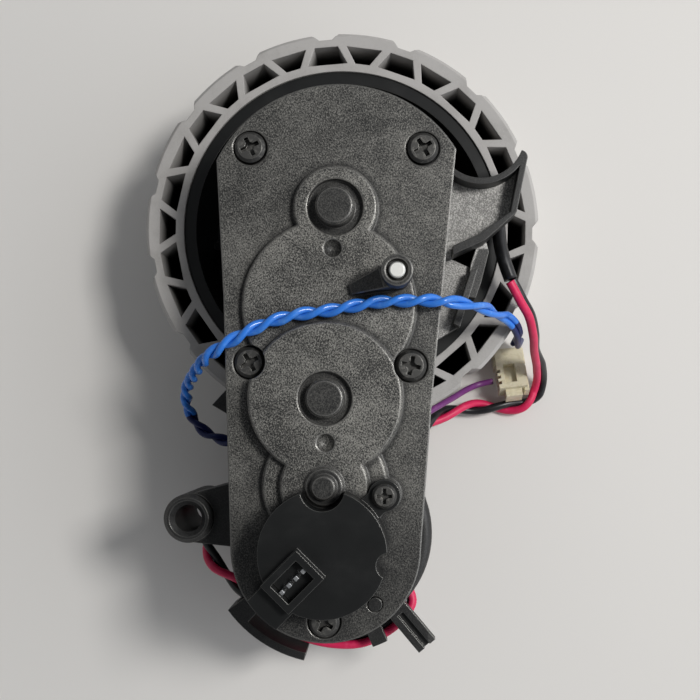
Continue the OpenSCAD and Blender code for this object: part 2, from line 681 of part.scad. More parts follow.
module motor_can() color([0.68, 0.69, 0.7]) at(motor_axis) {
  difference() {
    rotate_extrude() polygon([[motor_r - can_t, motor_z], [motor_r, motor_z], [motor_r, motor_top_z - 0.8],
      [motor_r - 0.8, motor_top_z - fit], [motor_boss_r, motor_top_z - fit], [motor_boss_r, motor_roof_z],
      [bush_r, motor_roof_z], [bush_r, motor_top_z - can_t], [motor_r - can_t, motor_top_z - can_t]]);
    for (spot = motor_screw_spots) at(spot) rod(motor_screw_r + fit, motor_top_z - 3, motor_top_z + 1);
    for (turn = [60, 240]) rotate(turn) translate([0, -2, motor_z + 6]) cube([motor_d, 4, 2]);
  }
}
module motor_magnets() color([0.22, 0.22, 0.24]) at(motor_axis, rotor_z - 1) {
  linear_extrude(rotor_l + 2) difference() {
    circle(r = motor_r - can_t - fit);
    circle(r = rotor_r + 0.5);
    for (turn = [0, 60, 120]) rotate(turn) translate([-motor_d, -1.5]) square([motor_d * 2, 3]);
    rotate(90) translate([-motor_d, -3.5]) square([motor_d * 2, 7]);
  }
}
terminal_x = motor_r - 4.2;
terminal_t = 0.5;
terminal_w = 2.6;
terminal_slot_room = 0.2;
module motor_end_bell() color([0.12, 0.12, 0.13]) at(motor_axis) {
  slot_t = terminal_t + 2 * terminal_slot_room;
  slot_w = terminal_w + 2 * terminal_slot_room;
  difference() {
    rod(motor_r - can_t - fit, motor_z + 0.2, motor_z + bell_t);
    rod(bush_r, motor_z - 1, motor_z + bell_t + 1);
    for (side = [-1, 1])
      translate([side * terminal_x - slot_t / 2, -slot_w / 2, motor_z - 1])
        cube([slot_t, slot_w, bell_t + 2]);
  }
}
module motor_bushes() color([0.6, 0.45, 0.25]) at(motor_axis) {
  tube(bush_r - fit, motor_shaft_d / 2 + pin_play, motor_z + 0.2, motor_z + bell_t);
  tube(bush_r - fit, motor_shaft_d / 2 + pin_play, motor_top_z - can_t, motor_roof_z);
}
module motor_terminals() color([0.8, 0.68, 0.35]) at(motor_axis) {
  for (side = [-1, 1])
    translate([side * terminal_x - terminal_t / 2, -terminal_w / 2, motor_z - terminal_out])
      cube([terminal_t, terminal_w, terminal_out + bell_t + 0.5]);
}
module motor_screws() color([0.3, 0.3, 0.31]) at(motor_axis) {
  for (spot = motor_screw_spots) at(spot, motor_roof_z + fit)
    pan_screw(motor_screw_head_r, motor_screw_head_h, motor_screw_r, motor_screw_len);
}

// Housing round the motor, a cup that is screwed to the case's flange from below
column_r = housing_room / 2;
column_spots = [for (a = [30, 150, 270]) polar(motor_r + 0.15 + column_r, a)];
housing_screw_seat_z = housing_z + 10;
tail_exit_turn = 172;
tail_entry_turn = -41;
lead_exit_turn = 52;
lead_hole_r = power_strand_d + 0.25;
lead_exit_z = 12;
tail_exit_z = 11;
tail_entry_z = 16;
thin_exit_turn = 54.8;
thin_exit_z = 14.85;
module wall_hole(turn, z, r) {
  rotate(turn) translate([housing_r - 3, 0, z]) rotate([0, 90, 0]) cylinder(r = r, h = 6);
}
hook_in_r = housing_r + 4.2;
hook_t = 1.4;
module motor_housing() color([0.1, 0.1, 0.11]) at(motor_axis) {
  inner_r = housing_r - housing_wall_t;
  floor_z = housing_z + housing_floor_t;
  difference() {
    union() {
      difference() {
        rotate_extrude($fn = 96) polygon([[0, housing_z], [housing_r - 1.2, housing_z],
          [housing_r, housing_z + 1.2], [housing_r, flange_z - fit], [inner_r, flange_z - fit],
          [inner_r, floor_z + 1], [inner_r - 1, floor_z], [0, floor_z]]);
        wall_hole(tail_exit_turn, tail_exit_z, lead_hole_r);
        wall_hole(tail_entry_turn, tail_entry_z, lead_hole_r);
        wall_hole(lead_exit_turn, lead_exit_z, lead_hole_r);
        wall_hole(thin_exit_turn, thin_exit_z, thin_lead_d / 2 + 0.15);
      }
      for (spot = column_spots) at(spot) rod(column_r, floor_z - 0.5, flange_z - fit);
    }
    for (spot = column_spots) at(spot) {
      rod(1.45, housing_z - 1, housing_screw_seat_z);
      rod(0.9, housing_z, flange_z + 1);
    }
  }
}
housing_screw_len = flange_z - housing_screw_seat_z + 4;
module housing_screws() color([0.3, 0.3, 0.31]) at(motor_axis) {
  for (spot = column_spots) at(spot, housing_screw_seat_z - fit) mirror([0, 0, 1])
    pan_screw(1.35, 1.1, 0.8, housing_screw_len);
}

// Gearbox case
module eye_arm_section() {
  root_x = side_mid_left[0] + 2;
  polygon([[root_x, eye_spot[1] + 6.5], [eye_spot[0] + 0.6, eye_spot[1] + eye_d / 2],
    [eye_spot[0] - 0.4, eye_spot[1] - eye_d / 2], [root_x, eye_spot[1] - 5.2]]);
}
wing_arc_centre = [23.7, 13.6];
wing_arc_r = 7.2;
wing_tip = [30.2, 9.8];
wing_tip_r = 1.2;
module wing_section(g) {
  difference() {
    union() {
      polygon([[16, 14 + g], [wing_tip[0], wing_tip[1] + wing_tip_r + g],
        [wing_tip[0] + wing_tip_r + g, wing_tip[1]], [29.6 + g, 0.8], [24.4 + g, -3.9 - g],
        [19 + g, -6.3 - g], [16, -6.3]]);
      translate(wing_tip) circle(r = wing_tip_r + g);
    }
    translate(wing_arc_centre) circle(r = wing_arc_r - g);
  }
}
side_flange_section = [[15, -4], [19.4, -6.2], [23.2, -7.9], [20.2, -17.9], [15, -21]];
side_wall_section = [[22.3, -8.4], [23.4, -8.2], [20.4, -18], [19.3, -17.4]];
gusset_section = [[-16, -24.8], [-21.9, -31.2], [-16, -34.7]];
brace_section = [[23.6, -3.4], [24.9, -2.6], [25.5, -5], [24.1, -10.4], [23.2, -12.9], [21.6, -12.6],
  [22.4, -7]];
wing_z = case_z + wing_rise;
cup_r = case_end_r - cover_wall_t - clear;
module flange_profile() {
  round_centre = [housing_r - flange_round, case_z - flange_round];
  polygon(concat([[0, flange_z], [housing_r, flange_z]],
    [for (a = [0 : 15 : 90]) round_centre + polar(flange_round, a)], [[0, case_z]]));
}
module case_shell() {
  translate([0, 0, case_z]) linear_extrude(case_floor_t) plan_outline();
  translate([0, 0, case_z]) linear_extrude(case_h) difference() {
    plan_outline();
    plan_outline(-case_wall_t);
  }
  rod(nose_d / 2, nose_z, case_z + 1);
  at(motor_axis) {
    rotate_extrude($fn = 96) flange_profile();
    rod(case_end_r, case_z, joint_z);
    rod(cup_r, case_z, motor_roof_z);
  }
}
module case_posts() {
  for (spot = cover_screw_spots) at(spot) rod(screw_head_d / 2 + 0.15, case_z, joint_z);
  at(gear_3_axis) rod(gear_pin_d / 2 + 1.3, case_z, gear_3_pinion_z - clear);
  at(gear_2_axis) rod(gear_pin_d / 2 + 1.3, case_z, gear_2_pinion_z - clear);
  at(gear_1_axis) rod(fast_pin_d / 2 + 1, motor_roof_z - 0.5, gear_1_z - clear);
  intersection() {
    at(end_screw_spot) rod(screw_head_d / 2, motor_roof_z - 0.5, ceiling_z - 1.2);
    at(motor_axis) rod(cup_r, motor_top_z, cover_z);
  }
  at(dowel_spot) rod(1.1, motor_roof_z - 0.5, cover_z + 0.3);
}
module case_wing() {
  translate([0, 0, wing_z]) linear_extrude(wing_t) wing_section(0);
  translate([0, 0, wing_z]) linear_extrude(wing_t + wing_wall_h) difference() {
    wing_section(0);
    wing_section(-wing_wall_t);
    square([side_top_right, wheel_d], center = true);
    translate([0, -20]) square([side_top_right - 1.4, 40]);
  }
  translate([0, 0, case_z]) linear_extrude(wing_rise + 0.5)
    polygon([[16, 9], [19.5, 9], [19.5, -5], [16, -5]]);
}
module case_arms() {
  translate([0, 0, case_z]) linear_extrude(4.2) polygon(side_flange_section);
  translate([0, 0, case_z]) linear_extrude(7) polygon(side_wall_section);
  translate([0, 0, case_z]) linear_extrude(5.4) polygon(gusset_section);
  translate([0, 0, case_z]) linear_extrude(7.4) eye_arm_section();
  at(eye_spot) rotate_extrude() polygon([[0, eye_z], [eye_d / 2 - 0.5, eye_z], [eye_d / 2, eye_z + 0.5],
    [eye_d / 2, eye_z + eye_h - 0.6], [eye_d / 2 - 0.6, eye_z + eye_h], [0, eye_z + eye_h]]);
  translate([0, 0, case_z]) linear_extrude(wing_rise + 0.3) polygon(brace_section);
}
module case_hooks() at(motor_axis) {
  // Curved lip that holds the motor lead at the lower left, on its bridge from the flange
  translate([0, 0, flange_z - 6]) linear_extrude(flange_t + 5.2) intersection() {
    difference() {
      circle(r = hook_in_r + hook_t);
      circle(r = hook_in_r);
    }
    polygon([[0, 0], polar(40, 216), polar(40, 236), polar(40, 257)]);
  }
  translate([0, 0, flange_z]) linear_extrude(flange_t - 0.8) intersection() {
    difference() {
      circle(r = hook_in_r + hook_t);
      circle(r = housing_r - 2);
    }
    polygon([[0, 0], polar(40, 216), polar(40, 226)]);
  }
  // Short tab over the lead at the bottom
  translate([0, 0, flange_z]) linear_extrude(flange_t - 0.8) intersection() {
    circle(r = housing_r + 3.8);
    rotate(-67) translate([0, -1.4]) square([housing_r + 8, 2.8]);
  }
  // Finger with a groove along it, at the lower right
  rotate(-50) translate([housing_r - 2, -1.9, flange_z]) difference() {
    cube([10.4, 3.8, flange_t - 0.4]);
    translate([3, 1.3, 1]) cube([10, 1.2, 4]);
  }
}
module gearbox_case() color([0.16, 0.16, 0.16]) {
  bore_r = eye_bore_d / 2;
  difference() {
    union() {
      case_shell();
      case_posts();
      case_wing();
      case_arms();
      case_hooks();
    }
    rod(low_bearing_d / 2 + fit, low_bearing_z, case_floor_z + 1);
    rod(shaft_r + 1.4, nose_z - 1, case_floor_z);
    at(motor_axis) {
      rod(motor_r + seat, flange_z - 1, motor_top_z);
      rod(motor_boss_r + seat, motor_z, motor_roof_z + 1);
      for (spot = motor_screw_spots) at(spot) rod(motor_screw_r + seat, motor_z, motor_roof_z + 1);
      for (spot = column_spots) at(spot) rod(0.8 + fit, flange_z - 1, flange_z + 4.5);
    }
    for (spot = cover_screw_spots) at(spot)
      rod(screw_d / 2 + fit, cover_z - screw_len - screw_recess - 1, joint_z + 1);
    at(end_screw_spot) rod(screw_d / 2 + fit, motor_roof_z - 0.6, cover_z);
    at(gear_1_axis) rod(fast_pin_d / 2 + fit, motor_z, cover_z);
    at(gear_2_axis) rod(gear_pin_d / 2 + fit, pin_foot_z - fit, cover_z);
    at(gear_3_axis) rod(gear_pin_d / 2 + fit, pin_foot_z - fit, cover_z);
    at(eye_spot) rotate_extrude() polygon([[0, eye_z - 1], [bore_r + 1, eye_z - 1],
      [bore_r + 0.6, eye_z - 0.01], [bore_r, eye_z + 0.6], [bore_r, eye_z + eye_h - 0.8],
      [bore_r + 0.8, eye_z + eye_h + 0.01], [bore_r + 0.8, eye_z + eye_h + 1], [0, eye_z + eye_h + 1]]);
    // Way out for the blue lead, in the case's floor
    at(blue_exit) rod(signal_strand_d + 0.25, case_z - 1, case_floor_z + 1);
  }
}
blue_exit = [-13, -38.8];

// Gearbox cover
screw_notch_r = screw_head_d / 2 + 0.3;
module raised_discs() {
  at(gear_3_axis) stepped_rod(disc_a_r, cover_z - 1, step_1_z);
  at(gear_2_axis) stepped_rod(disc_b_r, cover_z - 1, step_2_z);
  at(gear_1_axis) stepped_rod(disc_c_r, cover_z - 1, step_1_z);
  at(gear_1_axis) stepped_rod(disc_d_r, cover_z - 1, step_2_z);
  stepped_rod(shaft_ring_r, cover_z - 1, step_1_z);
}
module post_body() {
  turn = heading(post_spot, post_fin_end);
  reach = norm(post_spot - post_fin_end);
  grip_z = post_top_z - post_grip_h;
  at(post_spot) {
    rod(post_root_d / 2, cover_z - 1, grip_z + 1);
    rod(post_d / 2, grip_z, post_top_z);
    // Fin that widens toward the post and slopes down away from it
    difference() {
      translate([0, 0, cover_z - 1]) rotate(turn) linear_extrude(grip_z - cover_z + 1)
        polygon([[0, -2], [reach, -0.9], [reach, 0.9], [0, 2]]);
      rotate(turn) translate([post_d / 2, -5, grip_z - 0.4]) rotate([0, 32, 0]) cube([12, 10, 8]);
    }
  }
}
module cover_body() {
  difference() {
    union() {
      translate([0, 0, joint_z + fit]) linear_extrude(cover_h - fit) plan_outline();
      intersection() {
        raised_discs();
        translate([0, 0, joint_z]) linear_extrude(cover_h * 2) plan_outline(-0.4);
      }
      at(gear_1_axis) stepped_rod(3.1, cover_z, step_2_z + 0.7, 0.3);
      at(gear_1_axis) stepped_rod(2, cover_z, step_2_z + 1.9, 0.3);
      at(ear_spot) rod(ear_r + 0.1, cover_z - 1, step_1_z);
    }
    for (spot = concat(cover_screw_spots, [end_screw_spot])) at(spot)
      rod(screw_notch_r, cover_z - screw_recess, cap_top_z);
    // Recesses round the stubs over the shaft and the second gear
    tube(stub_r + 1.4, stub_r, step_1_z - stub_recess, step_1_z + 1);
    at(gear_2_axis) tube(stub_r + 1.2, stub_r, step_2_z - stub_recess, step_2_z + 1);
    difference() {
      translate([0, 0, joint_z]) linear_extrude(ceiling_z - joint_z) plan_outline(-cover_wall_t);
      for (spot = cover_screw_spots) at(spot) rod(screw_head_d / 2 + 0.15, joint_z - 1, cover_z);
      at(end_screw_spot) rod(screw_head_d / 2, ceiling_z - 1, cover_z);
      at(gear_3_axis) rod(gear_pin_d / 2 + 1.1, gear_3_z + gear_w + clear, cover_z);
      rod(top_bearing_d / 2 + 1.2, top_bearing_z, cover_z);
    }
    at(gear_2_axis) difference() {
      rod(disc_b_r - 1.2, joint_z, step_2_ceiling_z);
      rod(gear_pin_d / 2 + 1.1, gear_2_z + gear_w + clear, cap_top_z);
    }
    at(gear_1_axis) difference() {
      rod(disc_d_r - 1.4, joint_z, step_2_ceiling_z);
      rod(fast_pin_d / 2 + 0.8, gear_1_pinion_top + clear - 0.1, cap_top_z);
    }
  }
  stepped_rod(stub_r, cover_z - 0.5, step_1_z + 1.6);
  at(gear_2_axis) stepped_rod(stub_r, cover_z + 1, step_2_z + 0.9);
  post_body();
}
dimple_spots = [[-0.4, -6.5, 0], [-1.4, -37.2, 1]];
module gearbox_cover() color([0.27, 0.27, 0.26]) {
  difference() {
    cover_body();
    rod(top_bearing_d / 2 + fit, top_bearing_z - 1, top_bearing_z + top_bearing_w + fit);
    rod(shaft_r + 0.5, joint_z, shaft_top_z + 0.2);
    at(gear_1_axis) rod(fast_pin_d / 2 + fit, joint_z, gear_1_pin_top + fit);
    at(gear_2_axis) rod(gear_pin_d / 2 + fit, joint_z, gear_2_pin_top + fit);
    at(gear_3_axis) rod(gear_pin_d / 2 + fit, joint_z, gear_3_pin_top + fit);
    at(motor_axis) rod(motor_shaft_d / 2 + 1, ceiling_z - 1, cap_top_z);
    for (spot = concat(cover_screw_spots, [end_screw_spot])) at(spot)
      rod(screw_hole_r, joint_z - 1, cap_top_z);
    at(dowel_spot) rod(1.25, ceiling_z - 1, cap_top_z);
    at(ear_spot) rod(0.8 + fit, step_1_z - 3, step_1_z + 1);
    at(post_spot) rod(post_pin_d / 2 + fit, cover_z + 1, post_top_z + 1);
    at(post_spot) rod(post_pin_d / 2 + 0.45, post_top_z - 1, post_top_z + 1);
    // Domed dimples that the moulding pins leave
    for (d = dimple_spots) translate([d[0], d[1], step_1_z + d[2] * step_h + 0.4]) sphere(r = 1.5, $fn = 32);
  }
}
module cover_screws() color([0.13, 0.13, 0.13]) {
  for (i = [0 : len(cover_screw_spots) - 1]) at(cover_screw_spots[i], cover_z - screw_recess + fit)
    rotate(cover_screw_turns[i]) pan_screw(screw_head_d / 2, screw_head_h, screw_d / 2, screw_len);
}
module end_screw() color([0.13, 0.13, 0.13]) {
  at(end_screw_spot, cover_z - screw_recess + fit) rotate(end_screw_turn)
    pan_screw(screw_head_d / 2, screw_head_h, screw_d / 2, cover_z - screw_recess - motor_roof_z + 0.3);
}
module spring_pin() color([0.85, 0.85, 0.85]) at(post_spot) {
  r = post_pin_d / 2;
  rotate_extrude() polygon([[0, cover_z + 1 + fit], [r, cover_z + 1 + fit], [r, post_top_z - 0.05],
    [r - 0.2, post_top_z + 0.15], [0, post_top_z + 0.15]]);
}

// Encoder, under its own cap over the motor's end
module socket_section(g) {
  square([socket_l + 2 * g, socket_w + 2 * g], center = true);
}
module cap_section(g) {
  difference() {
    union() {
      translate(motor_axis) circle(r = cap_r + g);
      translate(motor_axis) rotate(socket_turn + 180) translate([6, -3.1 - g]) square([7.6 + g, 6.2 + 2 * g]);
    }
    translate(gear_1_axis) circle(r = 3.4 - g);
    translate(cap_notch_spot) circle(r = 2 - g);
  }
}
module encoder_cap() color([0.09, 0.1, 0.1]) {
  ear_top_z = step_1_z + 1.8;
  neck = heading(motor_axis, ear_spot);
  neck_l = norm(ear_spot - motor_axis) - cap_r + 2;
  difference() {
    union() {
      translate([0, 0, cover_z + fit]) linear_extrude(cap_h - fit) intersection() {
        cap_section(0);
        translate(motor_axis) circle(r = cap_r + 3.4);
      }
      at(motor_axis) rotate(neck) translate([cap_r - 2, -2, step_1_z + fit])
        cube([neck_l, 4, ear_top_z - step_1_z - fit]);
      at(ear_spot) rod(ear_r, step_1_z + fit, ear_top_z);
      at(socket_spot) rotate(socket_turn) translate([0, 0, cap_ceiling_z])
        linear_extrude(cap_wall_t + socket_h) socket_section(0);
    }
    difference() {
      translate([0, 0, cover_z - 1]) linear_extrude(cap_ceiling_z - cover_z + 1) difference() {
        translate(motor_axis) circle(r = cap_r - cap_wall_t);
        translate(gear_1_axis) circle(r = 3.4 + cap_wall_t);
        translate(cap_notch_spot) circle(r = 2 + cap_wall_t);
      }
    }
    // Room for the raised steps of the cover and for the screw beside the cap
    at(gear_1_axis) rod(disc_c_r + 0.1, cover_z - 1, step_1_z + fit);
    at(gear_1_axis) rod(disc_d_r + 0.1, cover_z - 1, step_2_z + fit);
    at(ear_spot) rod(ear_r + 0.2, cover_z - 1, step_1_z + fit);
    at(end_screw_spot) rod(screw_head_d / 2 + 0.2, cover_z - 1, cover_z + screw_head_h + clear);
    at(dowel_spot) rod(1.5, cover_z - 1, cover_z + 0.8);
    at(ear_spot) rod(1.1, cover_z, ear_top_z + 1);
    at(socket_spot) rotate(socket_turn) translate([0, 0, cap_ceiling_z - 1])
      linear_extrude(cap_wall_t + socket_h + 2) socket_section(-socket_wall_t);
  }
}
module cap_screw() color([0.14, 0.14, 0.14]) {
  at(ear_spot, step_1_z + 1.8 + fit) pan_screw(1.95, 1.2, 0.8, 4.2);
}
module encoder_board() color([0.05, 0.25, 0.13]) {
  translate([0, 0, board_z]) linear_extrude(board_t - fit) difference() {
    translate(motor_axis) circle(r = cap_r - cap_wall_t - 0.1);
    translate(gear_1_axis) circle(r = 3.5 + cap_wall_t);
    translate(cap_notch_spot) circle(r = 2.1 + cap_wall_t);
    translate(socket_spot) rotate(socket_turn) for (k = [-1.5 : 1 : 1.5])
      translate([k * pin_pitch, 0]) circle(r = pin_w * 0.71 + 0.1);
  }
}
module hall_sensors() color([0.08, 0.08, 0.09]) {
  sensor_h = 0.9;
  for (turn = [-25, 285]) at(motor_axis) rotate(turn)
    translate([magnet_r + 0.6, -1.5, board_z - sensor_h - fit]) cube([2, 3, sensor_h]);
}
module encoder_magnet() color([0.2, 0.2, 0.22]) at(motor_axis) {
  tube(magnet_r, motor_shaft_d / 2 + fit, magnet_z, magnet_z + magnet_t);
}
header_t = 1;
module socket_header() color([0.1, 0.1, 0.1]) at(socket_spot, cap_ceiling_z + fit) {
  rotate(socket_turn) linear_extrude(header_t) difference() {
    socket_section(-socket_wall_t - seat);
    for (k = [-1.5 : 1 : 1.5]) translate([k * pin_pitch, 0]) square(pin_w + 2 * fit, center = true);
  }
}
module socket_pins() color([0.9, 0.9, 0.9]) at(socket_spot) {
  rotate(socket_turn) for (k = [-1.5 : 1 : 1.5])
    translate([k * pin_pitch - pin_w / 2, -pin_w / 2, board_z + 0.05])
      cube([pin_w, pin_w, cap_top_z + socket_h - 0.5 - board_z]);
}

// Leads: each is one tube swept along its own points
function unit(v) = v / norm(v);
function route_tangent(points, i) =
  unit(points[min(i + 1, len(points) - 1)] - points[max(i - 1, 0)]);
// Each ring's side vector is carried on from the ring before, so that a tube doesn't twist
function carried(tangents, u, i = 0, out = []) =
  i == len(tangents) ? out
    : let (w = unit(u - (u * tangents[i]) * tangents[i])) carried(tangents, w, i + 1, concat(out, [w]));
module swept_tube(points, r, sides = 8) {
  n = len(points);
  tangents = [for (i = [0 : n - 1]) route_tangent(points, i)];
  sides_u = carried(tangents, cross(tangents[0], abs(tangents[0][2]) > 0.9 ? [0, 1, 0] : [0, 0, 1]));
  rings = [for (i = [0 : n - 1], k = [0 : sides - 1]) let (around = polar(r, k * 360 / sides))
    points[i] + around[0] * sides_u[i] + around[1] * cross(tangents[i], sides_u[i])];
  walls = [for (i = [0 : n - 2], k = [0 : sides - 1]) let (a = i * sides + k, b = i * sides + (k + 1) % sides)
    [a, a + sides, b + sides, b]];
  polyhedron(rings, concat([[for (k = [0 : sides - 1]) k]], walls,
    [[for (k = [sides - 1 : -1 : 0]) (n - 1) * sides + k]]));
}
motor_lead_route = [[9.2, -40.4, 12], [10.8, -38.8, 11.8], [12.8, -36.8, 10.4], [15.4, -34.9, 8],
  [18.4, -33.1, 5.8], [21.8, -31.9, 3.8], [25.3, -31.5, 2.3], [28.8, -31.5, 1.7], [32, -31.5, 1.65],
  [35.2, -31, 1.65], [37.5, -29.2, 1.9], [38.2, -26.4, 3.4], [37.4, -23.7, 8], [35.6, -21.1, 14.4],
  [34.5, -18.5, 20.6], [33.1, -15.6, 25.1], [31.4, -13.2, 27.2], [30.1, -11, 28], [29.4, -9.8, 28.2]];
motor_lead_tail_route = [[-19, -51.6, 11], [-22, -51.5, 10.6], [-25.2, -53.2, 11], [-26.4, -57, 12.2],
  [-24.4, -60.8, 14], [-20.5, -64, 15.2], [-17.3, -66.4, 16.2], [-12.96, -70.2, 17.2], [-7.72, -72.8, 17.8],
  [-2.2, -74.2, 18], [3.6, -74, 18], [8.8, -71.4, 17.4], [11.8, -67.9, 16.6], [11.4, -65.4, 16]];
blue_lead_route = [[-13, -38.8, 23.6], [-13.6, -38.8, 21.4], [-15.8, -38.6, 19.6], [-19, -38.2, 18.6],
  [-22.6, -37.4, 18.4], [-25.6, -35.8, 18.6], [-27.4, -33.2, 19.8], [-27.7, -30.3, 22.8],
  [-26.5, -27.9, 27.2], [-24.4, -26.2, 32], [-21.9, -24.4, 37.2], [-19.2, -22.9, 40.9],
  [-16.2, -21.2, 42.1], [-13.2, -19.6, 42.4],
  [-9.6, -18.1, 42.4], [-5.6, -17.1, 42.4], [-1.6, -16.6, 42.4], [2.4, -15.9, 42.4], [6.4, -15.2, 42.4],
  [10.4, -15, 42.4], [14.4, -14.9, 42.2], [18.1, -15, 41.4], [21.5, -15.1, 38.6], [24.4, -15.4, 35],
  [26.8, -15.9, 31], [28.7, -16.2, 28], [30.3, -17.3, 25.9], [31.4, -18.7, 23], [31.8, -19.3, 18.6],
  [32.4, -19.5, 13], [33.3, -18.6, 8], [33.9, -17.9, 4.6], [33.5, -19.1, 1.9]];
thin_lead_route = [[7.5, -41.2, 15], [9.2, -38.8, 14.8], [11.6, -35.8, 14.8], [14.6, -33.2, 13.8],
  [17.9, -31.2, 11.4], [20.8, -29.6, 8.3], [23.2, -28.2, 5.6], [25.7, -27.1, 3.7], [28.8, -26.35, 3.6]];
sleeve_route = [[27.4, -0.4, 26.4], [27.6, -3.4, 27.4], [28.2, -6.4, 28.1], [29.3, -9.6, 28.2]];
sleeve_r = 1.9;
module motor_lead() color([0.8, 0.1, 0.25]) swept_tube(motor_lead_route, power_strand_d);
module motor_lead_tail() color([0.8, 0.1, 0.25]) swept_tube(motor_lead_tail_route, power_strand_d);
module blue_lead() color([0.15, 0.4, 0.85]) swept_tube(blue_lead_route, signal_strand_d);
module thin_lead() color([0.55, 0.15, 0.45]) swept_tube(thin_lead_route, thin_lead_d / 2);
module wire_sleeve() color([0.07, 0.07, 0.07]) swept_tube(sleeve_route, sleeve_r, 12);

// Connector beside the tyre, with one end on the floor and the other on the motor lead
plug_spot = [32.4, -25.8];
plug_turn = 7;
plug_tilt = 20;
plug_rise = plug_l / 2 * sin(plug_tilt) + 0.15;
plug_tongue_w = 3.2;
plug_tongue_l = 1.5;
cavity_pitch = (plug_w - 0.8) / 4;
cavity_w = 0.9;
cavity_z = 1.2;
module on_plug() {
  at(plug_spot) rotate(plug_turn) translate([0, 0, plug_rise]) rotate([-plug_tilt, 0, 0]) children();
}
module plug_housing() color([0.88, 0.86, 0.76]) on_plug() {
  body_l = plug_l - plug_tongue_l;
  difference() {
    union() {
      translate([-plug_w / 2 + 0.3, plug_tongue_l - plug_l / 2, 0]) cube([plug_w - 0.6, body_l, plug_h]);
      translate([-plug_w / 2, plug_l / 2 - 3.2, 0]) cube([plug_w, 3.2, plug_h - 0.8]);
      translate([-plug_tongue_w / 2, -plug_l / 2, 0.2])
        cube([plug_tongue_w, plug_tongue_l + 1, plug_h - 1.2]);
      translate([plug_w / 2 - 1, plug_tongue_l - plug_l / 2 - 0.6, 0.4]) cube([1, body_l - 3, plug_h - 1.4]);
    }
    translate([-1.5, -plug_l / 2 + 2.6, plug_h - 1.3]) cube([2.3, plug_l - 6, 2]);
    for (k = [0 : 2]) translate([-plug_w / 2, -plug_l / 2 + 2.4 + 1.2 * k, 1.4]) cube([0.9, 0.6, plug_h]);
    for (k = [-1.5 : 1 : 1.5])
      translate([k * cavity_pitch - cavity_w / 2, plug_tongue_l - plug_l / 2 + 0.8, cavity_z])
        cube([cavity_w, plug_l, cavity_w]);
  }
}
module plug_contacts() color([0.8, 0.75, 0.6]) on_plug() {
  contact_w = cavity_w - 2 * seat;
  for (k = [-1.5 : 1 : 1.5])
    translate([k * cavity_pitch - contact_w / 2, plug_tongue_l - plug_l / 2 + 1.2, cavity_z + seat])
      cube([contact_w, plug_l - 3.6, contact_w]);
}

tyre();
wheel_hub();
hub_cap();
hub_screw();
output_shaft();
output_gear();
bearing_inner_rings();
bearing_outer_rings();
bearing_balls();
gear_1();
gear_2();
gear_3();
gear_1_pin();
gear_2_pin();
gear_3_pin();
motor_pinion();
motor_shaft();
rotor_core();
rotor_windings();
commutator();
encoder_magnet();
motor_can();
motor_magnets();
motor_end_bell();
motor_bushes();
motor_terminals();
motor_screws();
motor_housing();
housing_screws();
gearbox_case();
gearbox_cover();
cover_screws();
end_screw();
spring_pin();
encoder_cap();
cap_screw();
encoder_board();
hall_sensors();
socket_header();
socket_pins();
wire_sleeve();
motor_lead();
motor_lead_tail();
blue_lead();
thin_lead();
plug_housing();
plug_contacts();
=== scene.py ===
import json
import math

import bmesh
import bpy
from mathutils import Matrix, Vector


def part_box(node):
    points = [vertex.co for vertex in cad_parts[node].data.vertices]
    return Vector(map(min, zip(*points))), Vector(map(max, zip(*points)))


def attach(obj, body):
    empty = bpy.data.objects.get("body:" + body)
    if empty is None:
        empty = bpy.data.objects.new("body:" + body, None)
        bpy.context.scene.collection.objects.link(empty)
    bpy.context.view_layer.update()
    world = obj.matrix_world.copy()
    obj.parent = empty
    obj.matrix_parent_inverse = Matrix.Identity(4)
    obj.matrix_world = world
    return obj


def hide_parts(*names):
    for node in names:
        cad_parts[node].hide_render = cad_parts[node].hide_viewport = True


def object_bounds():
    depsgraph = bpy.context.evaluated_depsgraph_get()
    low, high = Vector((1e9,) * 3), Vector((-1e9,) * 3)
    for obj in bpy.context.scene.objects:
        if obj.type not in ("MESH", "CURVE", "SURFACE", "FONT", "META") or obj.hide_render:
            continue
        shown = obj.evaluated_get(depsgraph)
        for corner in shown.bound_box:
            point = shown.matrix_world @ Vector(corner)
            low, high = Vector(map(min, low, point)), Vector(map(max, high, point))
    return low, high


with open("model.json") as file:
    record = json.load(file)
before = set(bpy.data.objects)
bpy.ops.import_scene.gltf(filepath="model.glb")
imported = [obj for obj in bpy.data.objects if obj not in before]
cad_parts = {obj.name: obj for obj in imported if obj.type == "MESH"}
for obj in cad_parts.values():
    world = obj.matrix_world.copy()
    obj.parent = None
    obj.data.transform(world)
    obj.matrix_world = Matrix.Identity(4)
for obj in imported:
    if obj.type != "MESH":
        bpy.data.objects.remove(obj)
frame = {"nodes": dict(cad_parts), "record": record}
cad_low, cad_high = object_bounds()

MM = 0.001
nodes = frame["nodes"]

# Camera: it looks straight down, from beside the wheel's axis. Its focal length and the spot
# that lies straight below it are in pixels of the photograph
PHOTO_WIDTH = 700
CAMERA_PLACE = Vector((9.92, -31.89, 183.0)) * MM
FOCAL_PIXELS = 900
BELOW_CAMERA = (398, 409)
SENSOR = 36.0

camera_data = bpy.data.cameras.new("camera")
camera_data.sensor_width = SENSOR
camera_data.lens = FOCAL_PIXELS / PHOTO_WIDTH * SENSOR
camera_data.shift_x = (PHOTO_WIDTH / 2 - BELOW_CAMERA[0]) / PHOTO_WIDTH
camera_data.shift_y = (BELOW_CAMERA[1] - PHOTO_WIDTH / 2) / PHOTO_WIDTH
camera_data.clip_start = 10 * MM
camera = bpy.data.objects.new("camera", camera_data)
camera.location = CAMERA_PLACE
bpy.context.scene.collection.objects.link(camera)
bpy.context.scene.camera = camera


# Shader maths
BEVEL_SAMPLES = 6
OCCLUSION_SAMPLES = 4
